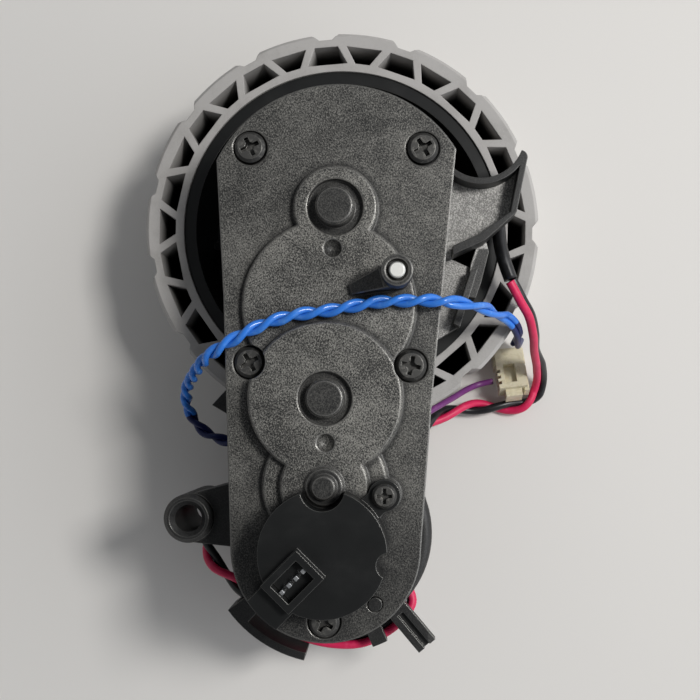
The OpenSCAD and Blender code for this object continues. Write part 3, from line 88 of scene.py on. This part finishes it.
# Each finish's material under its name. A slot of the record has the finish of the same name
finishes = {}


class Signal:
    """A value that varies over a surface; arithmetic on it adds Math nodes."""

    def __init__(self, shading, socket):
        self.shading = shading
        self.socket = socket

    def math(self, operation, first, second):
        return self.shading.node("ShaderNodeMath", {"operation": operation}, {0: first, 1: second})

    def __add__(self, other):
        return self.math("ADD", self, other)

    def __radd__(self, other):
        return self.math("ADD", other, self)

    def __sub__(self, other):
        return self.math("SUBTRACT", self, other)

    def __rsub__(self, other):
        return self.math("SUBTRACT", other, self)

    def __mul__(self, other):
        return self.math("MULTIPLY", self, other)

    def __rmul__(self, other):
        return self.math("MULTIPLY", other, self)


class Shading:
    """A node tree in the making."""

    def __init__(self, tree):
        self.tree = tree

    def plug(self, socket, value):
        """Links a signal to the socket, or sets the socket to a constant."""
        if isinstance(value, Signal):
            self.tree.links.new(value.socket, socket)
        else:
            socket.default_value = value

    def node(self, kind, settings=None, inputs=None, output=0):
        """Adds a node with its settings and inputs, and gives one of its outputs."""
        node = self.tree.nodes.new(kind)
        for name, value in (settings or {}).items():
            setattr(node, name, value)
        for name, value in (inputs or {}).items():
            self.plug(node.inputs[name], value)
        return Signal(self, node.outputs[output])

    def between(self, value, low, high, first=0.0, last=1.0):
        """The first number where value is under low, the last where it is over high, smooth between."""
        return self.node("ShaderNodeMapRange", {"interpolation_type": "SMOOTHSTEP"}, {
            "Value": value, "From Min": low, "From Max": high, "To Min": first, "To Max": last})

    def part(self, vector, axis):
        """One of a vector's three numbers."""
        return self.node("ShaderNodeSeparateXYZ", {}, {"Vector": vector}, axis)


class Finish(Shading):
    """A material in the making: one principled shader and the nodes that feed it."""

    def __init__(self, name, **fixed):
        material = bpy.data.materials.new(name)
        material.use_nodes = True
        finishes[name] = material
        super().__init__(material.node_tree)
        self.tree.nodes.clear()
        self.shader = self.tree.nodes.new("ShaderNodeBsdfPrincipled")
        output = self.tree.nodes.new("ShaderNodeOutputMaterial")
        self.tree.links.new(self.shader.outputs[0], output.inputs["Surface"])
        for socket, value in fixed.items():
            self.feed(socket.replace("_", " "), value)

    def feed(self, name, value):
        """Gives one of the shader's inputs its value."""
        self.plug(self.shader.inputs[name], value)

    def place(self):
        """The place on the object, in metres."""
        return self.node("ShaderNodeTexCoord", output="Object")

    def stretched(self, scale, turn=0.0):
        """The place on the object, drawn out along an axis that is turned in the XY plane."""
        return self.node("ShaderNodeMapping", {}, {
            "Vector": self.place(), "Rotation": (0.0, 0.0, turn), "Scale": scale})

    def noise(self, grain_mm, detail=2.0, roughness=0.5, distortion=0.0, where=None):
        """Cloudy noise with features of about grain_mm."""
        return self.node("ShaderNodeTexNoise", {}, {
            "Vector": where or self.place(), "Scale": 1 / (grain_mm * MM), "Detail": detail,
            "Roughness": roughness, "Distortion": distortion})

    def specks(self, grain_mm):
        """Distance to the nearest of many scattered points, 0 at each point."""
        return self.node("ShaderNodeTexVoronoi", {"feature": "F1"}, {
            "Vector": self.place(), "Scale": 1 / (grain_mm * MM)})

    def blend(self, mask, first, second):
        """The first colour where mask is 0, the second where it is 1."""
        # A Mix node's colours are its inputs 6 and 7 and its output 2
        return self.node("ShaderNodeMix", {"data_type": "RGBA"}, {0: mask, 6: first, 7: second}, 2)

    def away_from(self, spot):
        """How far a place is from the upright axis through spot, in metres."""
        flat = self.node("ShaderNodeVectorMath", {"operation": "MULTIPLY"}, {
            0: self.place(), 1: (1.0, 1.0, 0.0)})
        return self.node("ShaderNodeVectorMath", {"operation": "DISTANCE"}, {
            0: flat, 1: (*spot, 0.0)}, "Value")

    def along(self, axis):
        """Where a place lies along one of the object's axes, in metres."""
        return self.part(self.place(), axis)

    def past(self, value, level, softness=0.2 * MM):
        """0 where value is short of level, 1 where it is past it."""
        return self.between(value, level - softness / 2, level + softness / 2)

    def short_of(self, value, level, softness=0.2 * MM):
        """1 where value is short of level, 0 where it is past it."""
        return self.between(value, level - softness / 2, level + softness / 2, 1.0, 0.0)

    def facing(self):
        """The direction that the face looks in, without rounding."""
        return self.node("ShaderNodeNewGeometry", output="Normal")

    def upright(self):
        """1 on a face that looks straight up, 0 on an upright one."""
        return self.part(self.facing(), "Z")

    def fibres(self):
        """How much the pale fibres of a filled plastic show at each place, and the height of its grain."""
        grain = self.noise(0.2, 1.0, 0.6, 0.6, self.stretched((1.0, 0.8, 1.0), 0.35))
        clouds = self.noise(3.0, 3.0, 0.55, 0.8)
        broad = self.noise(14.0, 2.0)
        return self.between(grain + 0.26 * clouds + 0.32 * broad, 0.61, 1.13), grain + 0.3 * clouds

    def rounded(self, radius_mm):
        """The surface's direction with its edges rounded off."""
        return self.node("ShaderNodeBevel", {"samples": BEVEL_SAMPLES}, {"Radius": radius_mm * MM})

    def flatness(self, rounded):
        """1 on a flat face, and less the more the rounded direction leans over an edge."""
        lean = self.node("ShaderNodeVectorMath", {"operation": "DOT_PRODUCT"}, {
            0: self.facing(), 1: rounded}, "Value")
        return self.between(lean, 0.9, 0.995)

    def openness(self, reach_mm):
        """1 in the open, and less in a corner or close to a wall: a mask for painting shade there."""
        open_share = self.node("ShaderNodeAmbientOcclusion", {"samples": OCCLUSION_SAMPLES}, {
            "Distance": reach_mm * MM}, "AO")
        return self.between(open_share, 0.6, 0.97)

    def bump(self, height, depth_mm, after=None):
        """The surface's direction with fine heights on it, over a rounded direction or the face's own."""
        sockets = {"Height": height, "Distance": depth_mm * MM, "Strength": 1.0}
        if after is not None:
            sockets["Normal"] = after
        return self.node("ShaderNodeBump", {}, sockets)


def colour(red, green, blue):
    """A colour from 0 to 255 steps as a display shows them, in linear light."""
    parts = []
    for part in (red, green, blue):
        part /= 255
        parts.append(part / 12.92 if part <= 0.04045 else ((part + 0.055) / 1.055) ** 2.4)
    return (*parts, 1.0)


def axis_of(node):
    """Where the upright axis of a round node stands."""
    low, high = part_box(node)
    return (low[0] + high[0]) / 2, (low[1] + high[1]) / 2


# Where the looks of a piece change, in metres. The tyre's cells end inside its tread, and painted shade in
# them gets darker from the tyre's face down
TYRE_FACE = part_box("tyre")[1][2]
TREAD_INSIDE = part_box("tyre")[1][0] - 2.3 * MM
CELL_SHADE_BLACK_AT = TYRE_FACE - 7 * MM
CELL_SHADE_FROM = TYRE_FACE - 0.6 * MM
# The spring post's fin on the cover, smoother than what it stands on
FIN_FOOT = TYRE_FACE + 18.1 * MM
FIN_FRONT = -15.5 * MM
FIN_BACK = -6.5 * MM
FIN_LEFT = 1.2 * MM
# Fibres show less on the cover's plate than on the discs that it carries
PLATE_BELOW = FIN_FOOT - 0.8 * MM
DISCS_ABOVE = FIN_FOOT - 0.2 * MM
# Fibres show less towards the cover's end at the encoder cap
DARK_END = -54 * MM
PALE_FROM = -40 * MM
# Round stubs on the cover, over the axes of these nodes, smoother than the discs round them
STUBS = ("hub_cap", "gear_2_pin", "gear_1_pin")
STUB_RADIUS = 2.95 * MM
# Fibres show on the floor of the case's wing, but hardly on the brace in front of it. The brace is
# where X less BRACE_SLOPE times Y is past BRACE_LINE
WING_FLOOR = TYRE_FACE + 7.5 * MM
WING_SIDE = 15.3 * MM
BRACE_SLOPE = 0.36
BRACE_LINE = 25.35 * MM
BRACE_BACK = -4.45 * MM

# How metallic the rounded edges of black plastic are, which makes them shine
EDGE_METAL = 0.85


def cover_plastic():
    """Fibre-filled moulding: dark, with pale glinting fibres, smoother on its edges and stubs, and with
    painted shade in its creases.
    """
    f = Finish("cover_plastic", IOR=1.5)
    rounded = f.rounded(0.5)
    flat = f.flatness(rounded)
    glint, height = f.fibres()
    # Painted shade: fibres and pale edges fade to dark resin in creases and close to walls
    painted_crease_shade_factor = f.openness(1.3)
    glint = glint * flat * (0.08 + 0.92 * painted_crease_shade_factor)
    edge = (1.0 - flat) * (0.3 + 0.7 * painted_crease_shade_factor)
    on_fin = f.past(f.along("Y"), FIN_FRONT) * f.short_of(f.along("Y"), FIN_BACK)
    on_fin = on_fin * f.past(f.along("X"), FIN_LEFT, 0.4 * MM)
    on_fin = on_fin * f.past(f.along("Z"), FIN_FOOT + 0.15 * MM, 0.3 * MM)
    glint = glint * (1.0 - 0.85 * on_fin)
    glint = glint * f.between(f.along("Y"), DARK_END, PALE_FROM, 0.5, 1.0)
    glint = glint * f.between(f.along("Z"), PLATE_BELOW, DISCS_ABOVE, 0.8, 1.24)
    for node in STUBS:
        off_stub = f.past(f.away_from(axis_of(node)), STUB_RADIUS, 0.3 * MM)
        glint = glint * (0.2 + 0.8 * off_stub)
    resin = f.blend(edge, colour(13, 13, 13), colour(150, 148, 144))
    f.feed("Base Color", f.blend(glint, resin, colour(156, 154, 148)))
    f.feed("Metallic", 0.8 * glint + EDGE_METAL * edge)
    f.feed("Roughness", 0.28 + 0.24 * flat)
    f.feed("Normal", f.bump(height, 0.03, rounded))


def case_plastic():
    """Smooth black moulding, but fibres show on the floor of its wing."""
    f = Finish("case_plastic", IOR=1.5)
    rounded = f.rounded(0.24)
    flat = f.flatness(rounded)
    glint, height = f.fibres()
    on_wing = f.past(f.along("X"), WING_SIDE) * f.short_of(f.along("Z"), WING_FLOOR + 0.2 * MM)
    on_wing = on_wing * f.between(f.upright(), 0.9, 0.95)
    on_brace = f.past(f.along("X") - BRACE_SLOPE * f.along("Y"), BRACE_LINE, 0.3 * MM)
    on_brace = on_brace * f.short_of(f.along("Y"), BRACE_BACK, 0.3 * MM)
    on_wing = on_wing * (1.0 - 0.9 * on_brace)
    shown = (glint * (0.05 + 0.75 * on_wing) + 0.3 * on_wing) * flat
    edge = 1.0 - flat
    resin = f.blend(edge, colour(17, 17, 17), colour(112, 111, 108))
    f.feed("Base Color", f.blend(shown, resin, colour(196, 194, 190)))
    f.feed("Metallic", 0.6 * shown + EDGE_METAL * edge)
    f.feed("Roughness", 0.28 + 0.18 * flat)
    f.feed("Normal", f.bump(height, 0.025, rounded))


def black_plastic():
    """Plain black moulding with a soft shine, bright edges and faint dusty scuffs."""
    f = Finish("black_plastic", IOR=1.48)
    rounded = f.rounded(0.2)
    clouds = f.noise(5.0, 3.0, 0.6)
    grain = f.noise(0.22, 2.0, 0.5)
    scratches = f.noise(0.5, 2.0, 0.7, 0.4, f.stretched((0.12, 1.0, 1.0), 0.8))
    dust = f.between(clouds + 0.3 * scratches, 0.62, 0.95) * 0.08
    edge = 1.0 - f.flatness(rounded)
    resin = f.blend(dust, colour(17, 18, 18), colour(52, 52, 50))
    f.feed("Base Color", f.blend(edge, resin, colour(110, 109, 106)))
    f.feed("Metallic", EDGE_METAL * edge)
    f.feed("Roughness", 0.34 + 0.12 * clouds + 0.25 * dust - 0.12 * edge)
    f.feed("Normal", f.bump(grain, 0.008, rounded))


def tyre_rubber():
    """Pale grey rubber, with grime in clouds over its face, and painted shade down in its cells."""
    f = Finish("tyre_rubber", IOR=1.5)
    clouds = f.noise(6.0, 4.0, 0.6)
    fine = f.noise(0.3, 2.0, 0.6)
    grime = f.between(clouds + 0.25 * fine, 0.52, 0.85) * 0.4
    in_cell = f.short_of(f.away_from(axis_of("hub_cap")), TREAD_INSIDE + 0.05 * MM, 0.1 * MM)
    # Painted shade: the cells get darker, to near black, the further down they go below the tyre's face
    painted_cell_shade = in_cell * f.between(f.along("Z"), CELL_SHADE_BLACK_AT, CELL_SHADE_FROM, 1.0, 0.0)
    pale = f.blend(grime, colour(172, 169, 166), colour(138, 135, 131))
    f.feed("Base Color", f.blend(painted_cell_shade, pale, colour(16, 16, 16)))
    f.feed("Roughness", 0.62 + 0.18 * clouds)
    f.feed("Normal", f.bump(fine, 0.03, f.rounded(0.25)))


def gear_resin():
    """Natural acetal with a film of grease."""
    f = Finish("gear_resin", IOR=1.48, Subsurface_Weight=0.1, Subsurface_Radius=(0.001, 0.001, 0.0008))
    film = f.between(f.noise(2.4, 3.0, 0.6, 0.6), 0.42, 0.7)
    f.feed("Base Color", f.blend(film * 0.5, colour(233, 229, 214), colour(214, 202, 168)))
    f.feed("Roughness", 0.46 - 0.3 * film)
    f.feed("Normal", f.bump(f.noise(0.3, 2.0), 0.01, f.rounded(0.1)))


def steel(name, pale, dark, roughness, edge_mm=0.1, turned=True):
    """Bright steel with tool marks, round a turned piece or along a stamped one."""
    f = Finish(name, Metallic=1.0)
    marks = f.noise(0.12, 2.0, 0.5, 0.0, f.stretched((1.0, 1.0, 6.0) if turned else (1.0, 6.0, 1.0)))
    stain = f.between(f.noise(1.8, 3.0, 0.6), 0.45, 0.8)
    f.feed("Base Color", f.blend(stain * 0.6, pale, dark))
    f.feed("Roughness", roughness + 0.14 * marks + 0.12 * stain)
    f.feed("Normal", f.bump(marks, 0.006, f.rounded(edge_mm)))


def black_steel():
    """Black oxide, bare on its edges and where a driver has rubbed it, and dark in its recess."""
    f = Finish("black_steel", IOR=1.6)
    rounded = f.rounded(0.18)
    worn = 1.0 - f.flatness(rounded)
    facing_up = f.between(f.upright(), 0.5, 0.9)
    grain = f.noise(0.16, 3.0, 0.6)
    rubbed = f.between(f.noise(0.7, 3.0, 0.65, 0.6), 0.5, 0.72)
    bare = facing_up * (rubbed * 0.5 + worn * 0.5)
    oxide = f.blend(facing_up, colour(14, 14, 14), colour(74, 73, 71))
    f.feed("Base Color", f.blend(bare, oxide, colour(150, 148, 142)))
    f.feed("Metallic", 0.5 + 0.4 * bare)
    f.feed("Roughness", 0.36 + 0.16 * grain - 0.1 * worn)
    f.feed("Normal", f.bump(grain, 0.012, rounded))


def core_steel():
    """A stack of thin sheets, seen from the side as fine lines."""
    f = Finish("core_steel", Metallic=0.9)
    sheet_pitch = 0.5 * MM
    turns = f.along("Z") * (2 * math.pi / sheet_pitch)
    sheets = f.node("ShaderNodeMath", {"operation": "SINE"}, {0: turns})
    spots = f.noise(1.5, 3.0)
    f.feed("Base Color", f.blend(spots, colour(120, 120, 124), colour(86, 84, 84)))
    f.feed("Roughness", 0.42 + 0.1 * spots)
    f.feed("Normal", f.bump(sheets, 0.03))


def magnet():
    """Dark sintered ferrite."""
    f = Finish("magnet", IOR=1.6)
    grain = f.noise(0.15, 3.0, 0.7)
    f.feed("Base Color", f.blend(grain, colour(48, 48, 51), colour(74, 74, 77)))
    f.feed("Roughness", 0.7 - 0.15 * grain)
    f.feed("Normal", f.bump(grain, 0.02, f.rounded(0.15)))


def metal_skin(name, bright, dull, roughness):
    """Copper or brass with a tarnish that comes and goes."""
    f = Finish(name, Metallic=1.0)
    tarnish = f.between(f.noise(1.3, 3.0, 0.6, 0.5), 0.4, 0.75)
    f.feed("Base Color", f.blend(tarnish * 0.7, bright, dull))
    f.feed("Roughness", roughness + 0.2 * tarnish)
    f.feed("Normal", f.bump(f.noise(0.2, 2.0), 0.008, f.rounded(0.08)))


def circuit_board():
    """Green solder mask over faint copper tracks."""
    f = Finish("circuit_board", IOR=1.5, Coat_Weight=0.4, Coat_Roughness=0.12)
    weave = f.noise(0.4, 2.0, 0.4)
    tracks = f.between(f.specks(2.2), 0.36, 0.42)
    f.feed("Base Color", f.blend(tracks * 0.5, colour(22, 96, 52), colour(40, 128, 70)))
    f.feed("Roughness", 0.35 + 0.15 * weave)
    f.feed("Normal", f.bump(tracks + 0.2 * weave, 0.02))


def insulation(name, body, worn, roughness=0.34):
    """Smooth coloured wire insulation, a little dusty."""
    f = Finish(name, IOR=1.47)
    dusty = f.between(f.noise(1.6, 3.0, 0.6), 0.48, 0.8) * 0.5
    f.feed("Base Color", f.blend(dusty, body, worn))
    f.feed("Roughness", roughness + 0.2 * dusty)
    f.feed("Normal", f.bump(f.noise(0.2, 2.0), 0.006))


def cream_nylon():
    """Unfilled nylon: lets a little light in, and has flow marks."""
    f = Finish("cream_nylon", IOR=1.53, Subsurface_Weight=0.25, Subsurface_Radius=(0.0012, 0.001, 0.0006))
    flow = f.noise(1.4, 3.0, 0.6, 0.8)
    stain = f.between(flow, 0.45, 0.75)
    f.feed("Base Color", f.blend(stain * 0.6, colour(212, 204, 178), colour(176, 164, 128)))
    f.feed("Roughness", 0.32 + 0.2 * stain)
    f.feed("Normal", f.bump(flow, 0.03, f.rounded(0.18)))


tyre_rubber()
black_plastic()
case_plastic()
cover_plastic()
gear_resin()
steel("ground_steel", colour(205, 205, 208), colour(150, 148, 146), 0.2)
steel("pin_steel", colour(240, 240, 236), colour(205, 204, 198), 0.42, 0.12)
steel("plated_steel", colour(206, 208, 210), colour(160, 160, 158), 0.3, 0.12, False)
black_steel()
core_steel()
magnet()
metal_skin("copper", colour(214, 132, 84), colour(140, 78, 48), 0.28)
metal_skin("brass", colour(222, 190, 112), colour(160, 128, 70), 0.26)
circuit_board()
insulation("black_sleeve", colour(22, 22, 24), colour(70, 70, 72), 0.38)
insulation("red_insulation", colour(208, 28, 82), colour(222, 84, 122), 0.46)
insulation("blue_insulation", colour(50, 120, 214), colour(112, 166, 228), 0.2)
insulation("purple_insulation", colour(104, 44, 108), colour(136, 84, 134))
insulation("black_insulation", colour(20, 20, 23), colour(60, 60, 64))
# Dark blue for the blue lead's ends: painted shade at its start, where it runs low between the wheel and the
# case
insulation("blue_lead_dark_ends", colour(14, 28, 84), colour(40, 56, 110), 0.42)
cream_nylon()
Finish("pale_floor", Base_Color=colour(221, 218, 214), Roughness=0.85)

for row in frame["record"]["subparts"]:
    mesh = nodes[row["node"]].data
    mesh.materials.clear()
    mesh.materials.append(finishes[row["material_slot"]])


# Leads. Their points are those of the solids, in millimetres
MOTOR_LEAD = [
    (9.2, -40.4, 12), (10.8, -38.8, 11.8), (12.8, -36.8, 10.4), (15.4, -34.9, 8), (18.4, -33.1, 5.8),
    (21.8, -31.9, 3.8), (25.3, -31.5, 2.3), (28.8, -31.5, 1.7), (32, -31.5, 1.65), (35.2, -31, 1.65),
    (37.5, -29.2, 1.9), (38.2, -26.4, 3.4), (37.4, -23.7, 8), (35.6, -21.1, 14.4), (34.5, -18.5, 20.6),
    (33.1, -15.6, 25.1), (31.4, -13.2, 27.2), (30.1, -11, 28), (29.4, -9.8, 28.2)]
MOTOR_LEAD_TAIL = [
    (-19, -51.6, 11), (-22, -51.5, 10.6), (-25.2, -53.2, 11), (-26.4, -57, 12.2), (-24.4, -60.8, 14),
    (-20.5, -64, 15.2), (-17.3, -66.4, 16.2), (-12.96, -70.2, 17.2), (-7.72, -72.8, 17.8), (-2.2, -74.2, 18),
    (3.6, -74, 18), (8.8, -71.4, 17.4), (11.8, -67.9, 16.6), (11.4, -65.4, 16)]
BLUE_LEAD = [
    (-13, -38.8, 23.6), (-13.6, -38.8, 21.4), (-15.8, -38.6, 19.6), (-19, -38.2, 18.6), (-22.6, -37.4, 18.4),
    (-25.6, -35.8, 18.6), (-27.4, -33.2, 19.8), (-27.7, -30.3, 22.8), (-26.5, -27.9, 27.2),
    (-24.4, -26.2, 32), (-21.9, -24.4, 37.2), (-19.2, -22.9, 40.9), (-16.2, -21.2, 42.1),
    (-13.2, -19.6, 42.4), (-9.6, -18.1, 42.4), (-5.6, -17.1, 42.4), (-1.6, -16.6, 42.4), (2.4, -15.9, 42.4),
    (6.4, -15.2, 42.4), (10.4, -15, 42.4), (14.4, -14.9, 42.2), (18.1, -15, 41.4), (21.5, -15.1, 38.6),
    (24.4, -15.4, 35), (26.8, -15.9, 31), (28.7, -16.2, 28), (30.3, -17.3, 25.9), (31.4, -18.7, 23),
    (31.8, -19.3, 18.6), (32.4, -19.5, 13), (33.3, -18.6, 8), (33.9, -17.9, 4.6), (33.5, -19.1, 1.9)]
THIN_LEAD = [
    (7.5, -41.2, 15), (9.2, -38.8, 14.8), (11.6, -35.8, 14.8), (14.6, -33.2, 13.8), (17.9, -31.2, 11.4),
    (20.8, -29.6, 8.3), (23.2, -28.2, 5.6), (25.7, -27.1, 3.7), (28.8, -26.35, 3.6)]
SLEEVE = [(27.4, -0.4, 26.4), (27.6, -3.4, 27.4), (28.2, -6.4, 28.1), (29.3, -9.6, 28.2)]

# Thickness of one strand, in millimetres, and the number of flats round it
POWER_STRAND = 1.55
SIGNAL_STRAND = 1.1
THIN_LEAD_D = 1.2
STRAND_SIDES = 12

# Twist of each pair: the turns that it has made at shares of its length. The motor lead is
# twisted where it is low, and runs into its sleeve with the red strand on top
RED_ON_TOP = 2.34
BLACK_OUTSIDE = 2.44
MOTOR_TWIST = [(0, 0.1), (0.42, 2.0), (0.5, BLACK_OUTSIDE), (0.62, BLACK_OUTSIDE), (0.72, RED_ON_TOP),
               (1, RED_ON_TOP)]
TAIL_TWIST = [(0, 0), (0.45, 1.75), (0.6, 2.0), (1, 2.0)]
BLUE_TWIST = [(0, 0), (0.65, 10.6), (0.78, 11.6), (1, 11.9)]
# The blue lead is bright between these shares of its length, and dark blue at its ends. At its start, where
# it runs low between the wheel and the case, the dark blue is painted shade
BLUE_BRIGHT = (0.15, 0.8)

# The sleeve is flattened: half its width and half its height, and how much flatter its far end is
SLEEVE_HALF_WIDTH = 1.2
SLEEVE_HALF_HEIGHT = 1.6
SLEEVE_SQUEEZE = 0.05
SLEEVE_STEPS = 6
SLEEVE_SIDES = 20


def smooth_route(points, steps=8):
    """Points along a smooth curve through the given ones, in metres."""
    route = [Vector(p) * MM for p in points]
    padded = [2 * route[0] - route[1], *route, 2 * route[-1] - route[-2]]
    curve = []
    for i in range(1, len(padded) - 2):
        before, start, end, after = padded[i - 1:i + 3]
        slope = end - before
        bend = 2 * before - 5 * start + 4 * end - after
        rest = 3 * start - before - 3 * end + after
        for k in range(steps):
            t = k / steps
            curve.append(0.5 * (2 * start + slope * t + bend * t * t + rest * t ** 3))
    return [*curve, route[-1]]


def lengths_along(curve):
    """The length of the curve up to each of its points."""
    total = [0.0]
    for a, b in zip(curve, curve[1:]):
        total.append(total[-1] + (b - a).length)
    return total


def directions(curve, level=False):
    """At each point: the way along, a sideways unit and the one square to both.

    The sideways unit is carried on without twist, or lies level where that is asked.
    """
    up = Vector((0, 0, 1))
    last = len(curve) - 1
    ahead = [(curve[min(i + 1, last)] - curve[max(i - 1, 0)]).normalized() for i in range(len(curve))]
    side = ahead[0].cross(up).normalized()
    frames = []
    for t in ahead:
        side = t.cross(up).normalized() if level else (side - side.dot(t) * t).normalized()
        frames.append((t, side, side.cross(t)))
    return frames


def tube(mesh, centres, frames, radii, sides, materials):
    """Adds a closed tube to the mesh.

    For each centre, radii holds a width and a height, and materials the number of a material.
    """
    angles = [2 * math.pi * k / sides for k in range(sides)]
    rings = []
    for centre, (_, across, up), (wide, high) in zip(centres, frames, radii):
        rings.append([mesh.verts.new(centre + wide * math.cos(a) * across + high * math.sin(a) * up)
                      for a in angles])
    mesh.faces.new(list(reversed(rings[0]))).material_index = materials[0]
    mesh.faces.new(rings[-1]).material_index = materials[-1]
    for near, far, material in zip(rings, rings[1:], materials):
        for k in range(sides):
            face = mesh.faces.new((near[k], near[(k + 1) % sides], far[(k + 1) % sides], far[k]))
            face.material_index = material
            face.smooth = True


def piece(name, mesh, slots):
    """Ends the mesh as an object of the housing's body, with the finishes of those names."""
    bmesh.ops.recalc_face_normals(mesh, faces=mesh.faces)
    data = bpy.data.meshes.new(name)
    mesh.to_mesh(data)
    mesh.free()
    for slot in slots:
        data.materials.append(finishes[slot])
    obj = bpy.data.objects.new(name, data)
    bpy.context.scene.collection.objects.link(obj)
    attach(obj, "housing")
    return obj


def turns_at(share, twist):
    """The turns made at a share of the length, from pairs of share and turns."""
    for (s0, t0), (s1, t1) in zip(twist, twist[1:]):
        if share <= s1:
            return t0 + (t1 - t0) * ((share - s0) / (s1 - s0))
    return twist[-1][1]


def twisted_pair(name, points, strand_mm, twist, slots, level=False, bright=None):
    """Two strands side by side round the route, with its curve and length.

    Each strand has its own finish of the two in slots; or both have the first between the two
    shares of the length in bright, and the second before and after them.
    """
    curve = smooth_route(points)
    along = lengths_along(curve)
    frames = directions(curve, level)
    radius = strand_mm / 2 * MM
    mesh = bmesh.new()
    for strand in (0, 1):
        centres = []
        materials = []
        for centre, (_, across, up), far in zip(curve, frames, along):
            share = far / along[-1]
            angle = 2 * math.pi * (turns_at(share, twist) + strand / 2)
            centres.append(centre + radius * (math.cos(angle) * across + math.sin(angle) * up))
            materials.append(strand if bright is None else int(not bright[0] < share < bright[1]))
        tube(mesh, centres, directions(centres), [(radius, radius)] * len(centres), STRAND_SIDES, materials)
    return piece(name, mesh, slots), curve, along[-1]


motor_pair, motor_curve, motor_length = twisted_pair(
    "motor_lead_pair", MOTOR_LEAD, POWER_STRAND, MOTOR_TWIST,
    ["red_insulation", "black_insulation"], level=True)
tail_pair, tail_curve, tail_length = twisted_pair(
    "motor_lead_tail_pair", MOTOR_LEAD_TAIL, POWER_STRAND, TAIL_TWIST,
    ["red_insulation", "black_insulation"])
blue_pair, blue_curve, blue_length = twisted_pair(
    "blue_lead_pair", BLUE_LEAD, SIGNAL_STRAND, BLUE_TWIST,
    ["blue_insulation", "blue_lead_dark_ends"], bright=BLUE_BRIGHT)

thin_curve = smooth_route(THIN_LEAD)
thin_length = lengths_along(thin_curve)[-1]
thin_mesh = bmesh.new()
tube(thin_mesh, thin_curve, directions(thin_curve), [(THIN_LEAD_D / 2 * MM,) * 2] * len(thin_curve),
     STRAND_SIDES, [0] * len(thin_curve))
thin_strand = piece("thin_lead_strand", thin_mesh, ["purple_insulation"])

sleeve_curve = smooth_route(SLEEVE, SLEEVE_STEPS)
sleeve_mesh = bmesh.new()
sleeve_radii = []
for i in range(len(sleeve_curve)):
    squeeze = SLEEVE_SQUEEZE * (i / (len(sleeve_curve) - 1))
    sleeve_radii.append(((SLEEVE_HALF_WIDTH - squeeze) * MM, (SLEEVE_HALF_HEIGHT + squeeze) * MM))
tube(sleeve_mesh, sleeve_curve, directions(sleeve_curve, True), sleeve_radii, SLEEVE_SIDES,
     [0] * len(sleeve_curve))
sleeve = piece("sleeve", sleeve_mesh, ["black_sleeve"])

for obj, node, slot in (
        (motor_pair, "motor_lead", "red_insulation"), (tail_pair, "motor_lead_tail", "red_insulation"),
        (blue_pair, "blue_lead", "blue_insulation"), (thin_strand, "thin_lead", "purple_insulation"),
        (sleeve, "wire_sleeve", "black_sleeve")):
    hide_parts(node)


# Floor, a hair under the object so that no two faces share a plane
FLOOR_HALF_WIDTH = 3.0
FLOOR_DROP = 0.02 * MM
floor_mesh = bmesh.new()
bmesh.ops.create_grid(floor_mesh, x_segments=1, y_segments=1, size=FLOOR_HALF_WIDTH)
floor_data = bpy.data.meshes.new("floor")
floor_mesh.to_mesh(floor_data)
floor_mesh.free()
floor = bpy.data.objects.new("floor", floor_data)
floor.location = (0, 0, cad_low[2] - FLOOR_DROP)
bpy.context.scene.collection.objects.link(floor)
floor_data.materials.append(finishes["pale_floor"])

# Lamp: its direction from the object's middle, its distance and size in metres, and its watts
MIDDLE = Vector((0.0, -0.025, 0.03))
LAMP_AZIMUTH = math.radians(20)
LAMP_ELEVATION = math.radians(54)
LAMP_DISTANCE = 0.6
LAMP_SIZE = (0.13, 0.12)
LAMP_POWER = 2.35
LAMP_COLOUR = (1.0, 0.99, 0.97)

toward_lamp = Vector((math.cos(LAMP_ELEVATION) * math.cos(LAMP_AZIMUTH),
                      math.cos(LAMP_ELEVATION) * math.sin(LAMP_AZIMUTH),
                      math.sin(LAMP_ELEVATION)))
lamp_data = bpy.data.lights.new("window_light", "AREA")
lamp_data.shape = "RECTANGLE"
lamp_data.size, lamp_data.size_y = LAMP_SIZE
lamp_data.energy = LAMP_POWER
lamp_data.color = LAMP_COLOUR
lamp = bpy.data.objects.new("window_light", lamp_data)
lamp.location = MIDDLE + LAMP_DISTANCE * toward_lamp
lamp.rotation_euler = (-toward_lamp).to_track_quat("-Z", "Y").to_euler()
bpy.context.scene.collection.objects.link(lamp)

# Sky: brighter on the lamp's side, dark low down and where the camera is, with a glow low on the
# lamp's side. The camera itself sees a plain pale backdrop
SKY_COLOUR = (0.93, 0.96, 1.0, 1.0)
BACKDROP_STRENGTH = 0.7
world = bpy.data.worlds.new("sky")
world.use_nodes = True
sky = Shading(world.node_tree)
toward = sky.node("ShaderNodeTexCoord", output="Generated")
height = sky.part(toward, "Z")
rightward = sky.part(toward, "X")
wall = sky.between(rightward, -0.7, 0.7, 0.28, 0.42) * sky.between(height, 0.0, 0.35, 0.3, 1.0)
overhead = sky.between(height, 0.8, 0.97, 1.0, 0.1)
glow = sky.between(rightward, 0.45, 0.8, 0.0, 1.2) * sky.between(height, 0.02, 0.2)
seen = sky.node("ShaderNodeLightPath", output="Is Camera Ray")
background = world.node_tree.nodes["Background"]
background.inputs["Color"].default_value = SKY_COLOUR
sky.plug(background.inputs["Strength"], (wall * overhead + glow) * (1 - seen) + BACKDROP_STRENGTH * seen)
bpy.context.scene.world = world
bpy.context.scene.view_settings.view_transform = "Standard"
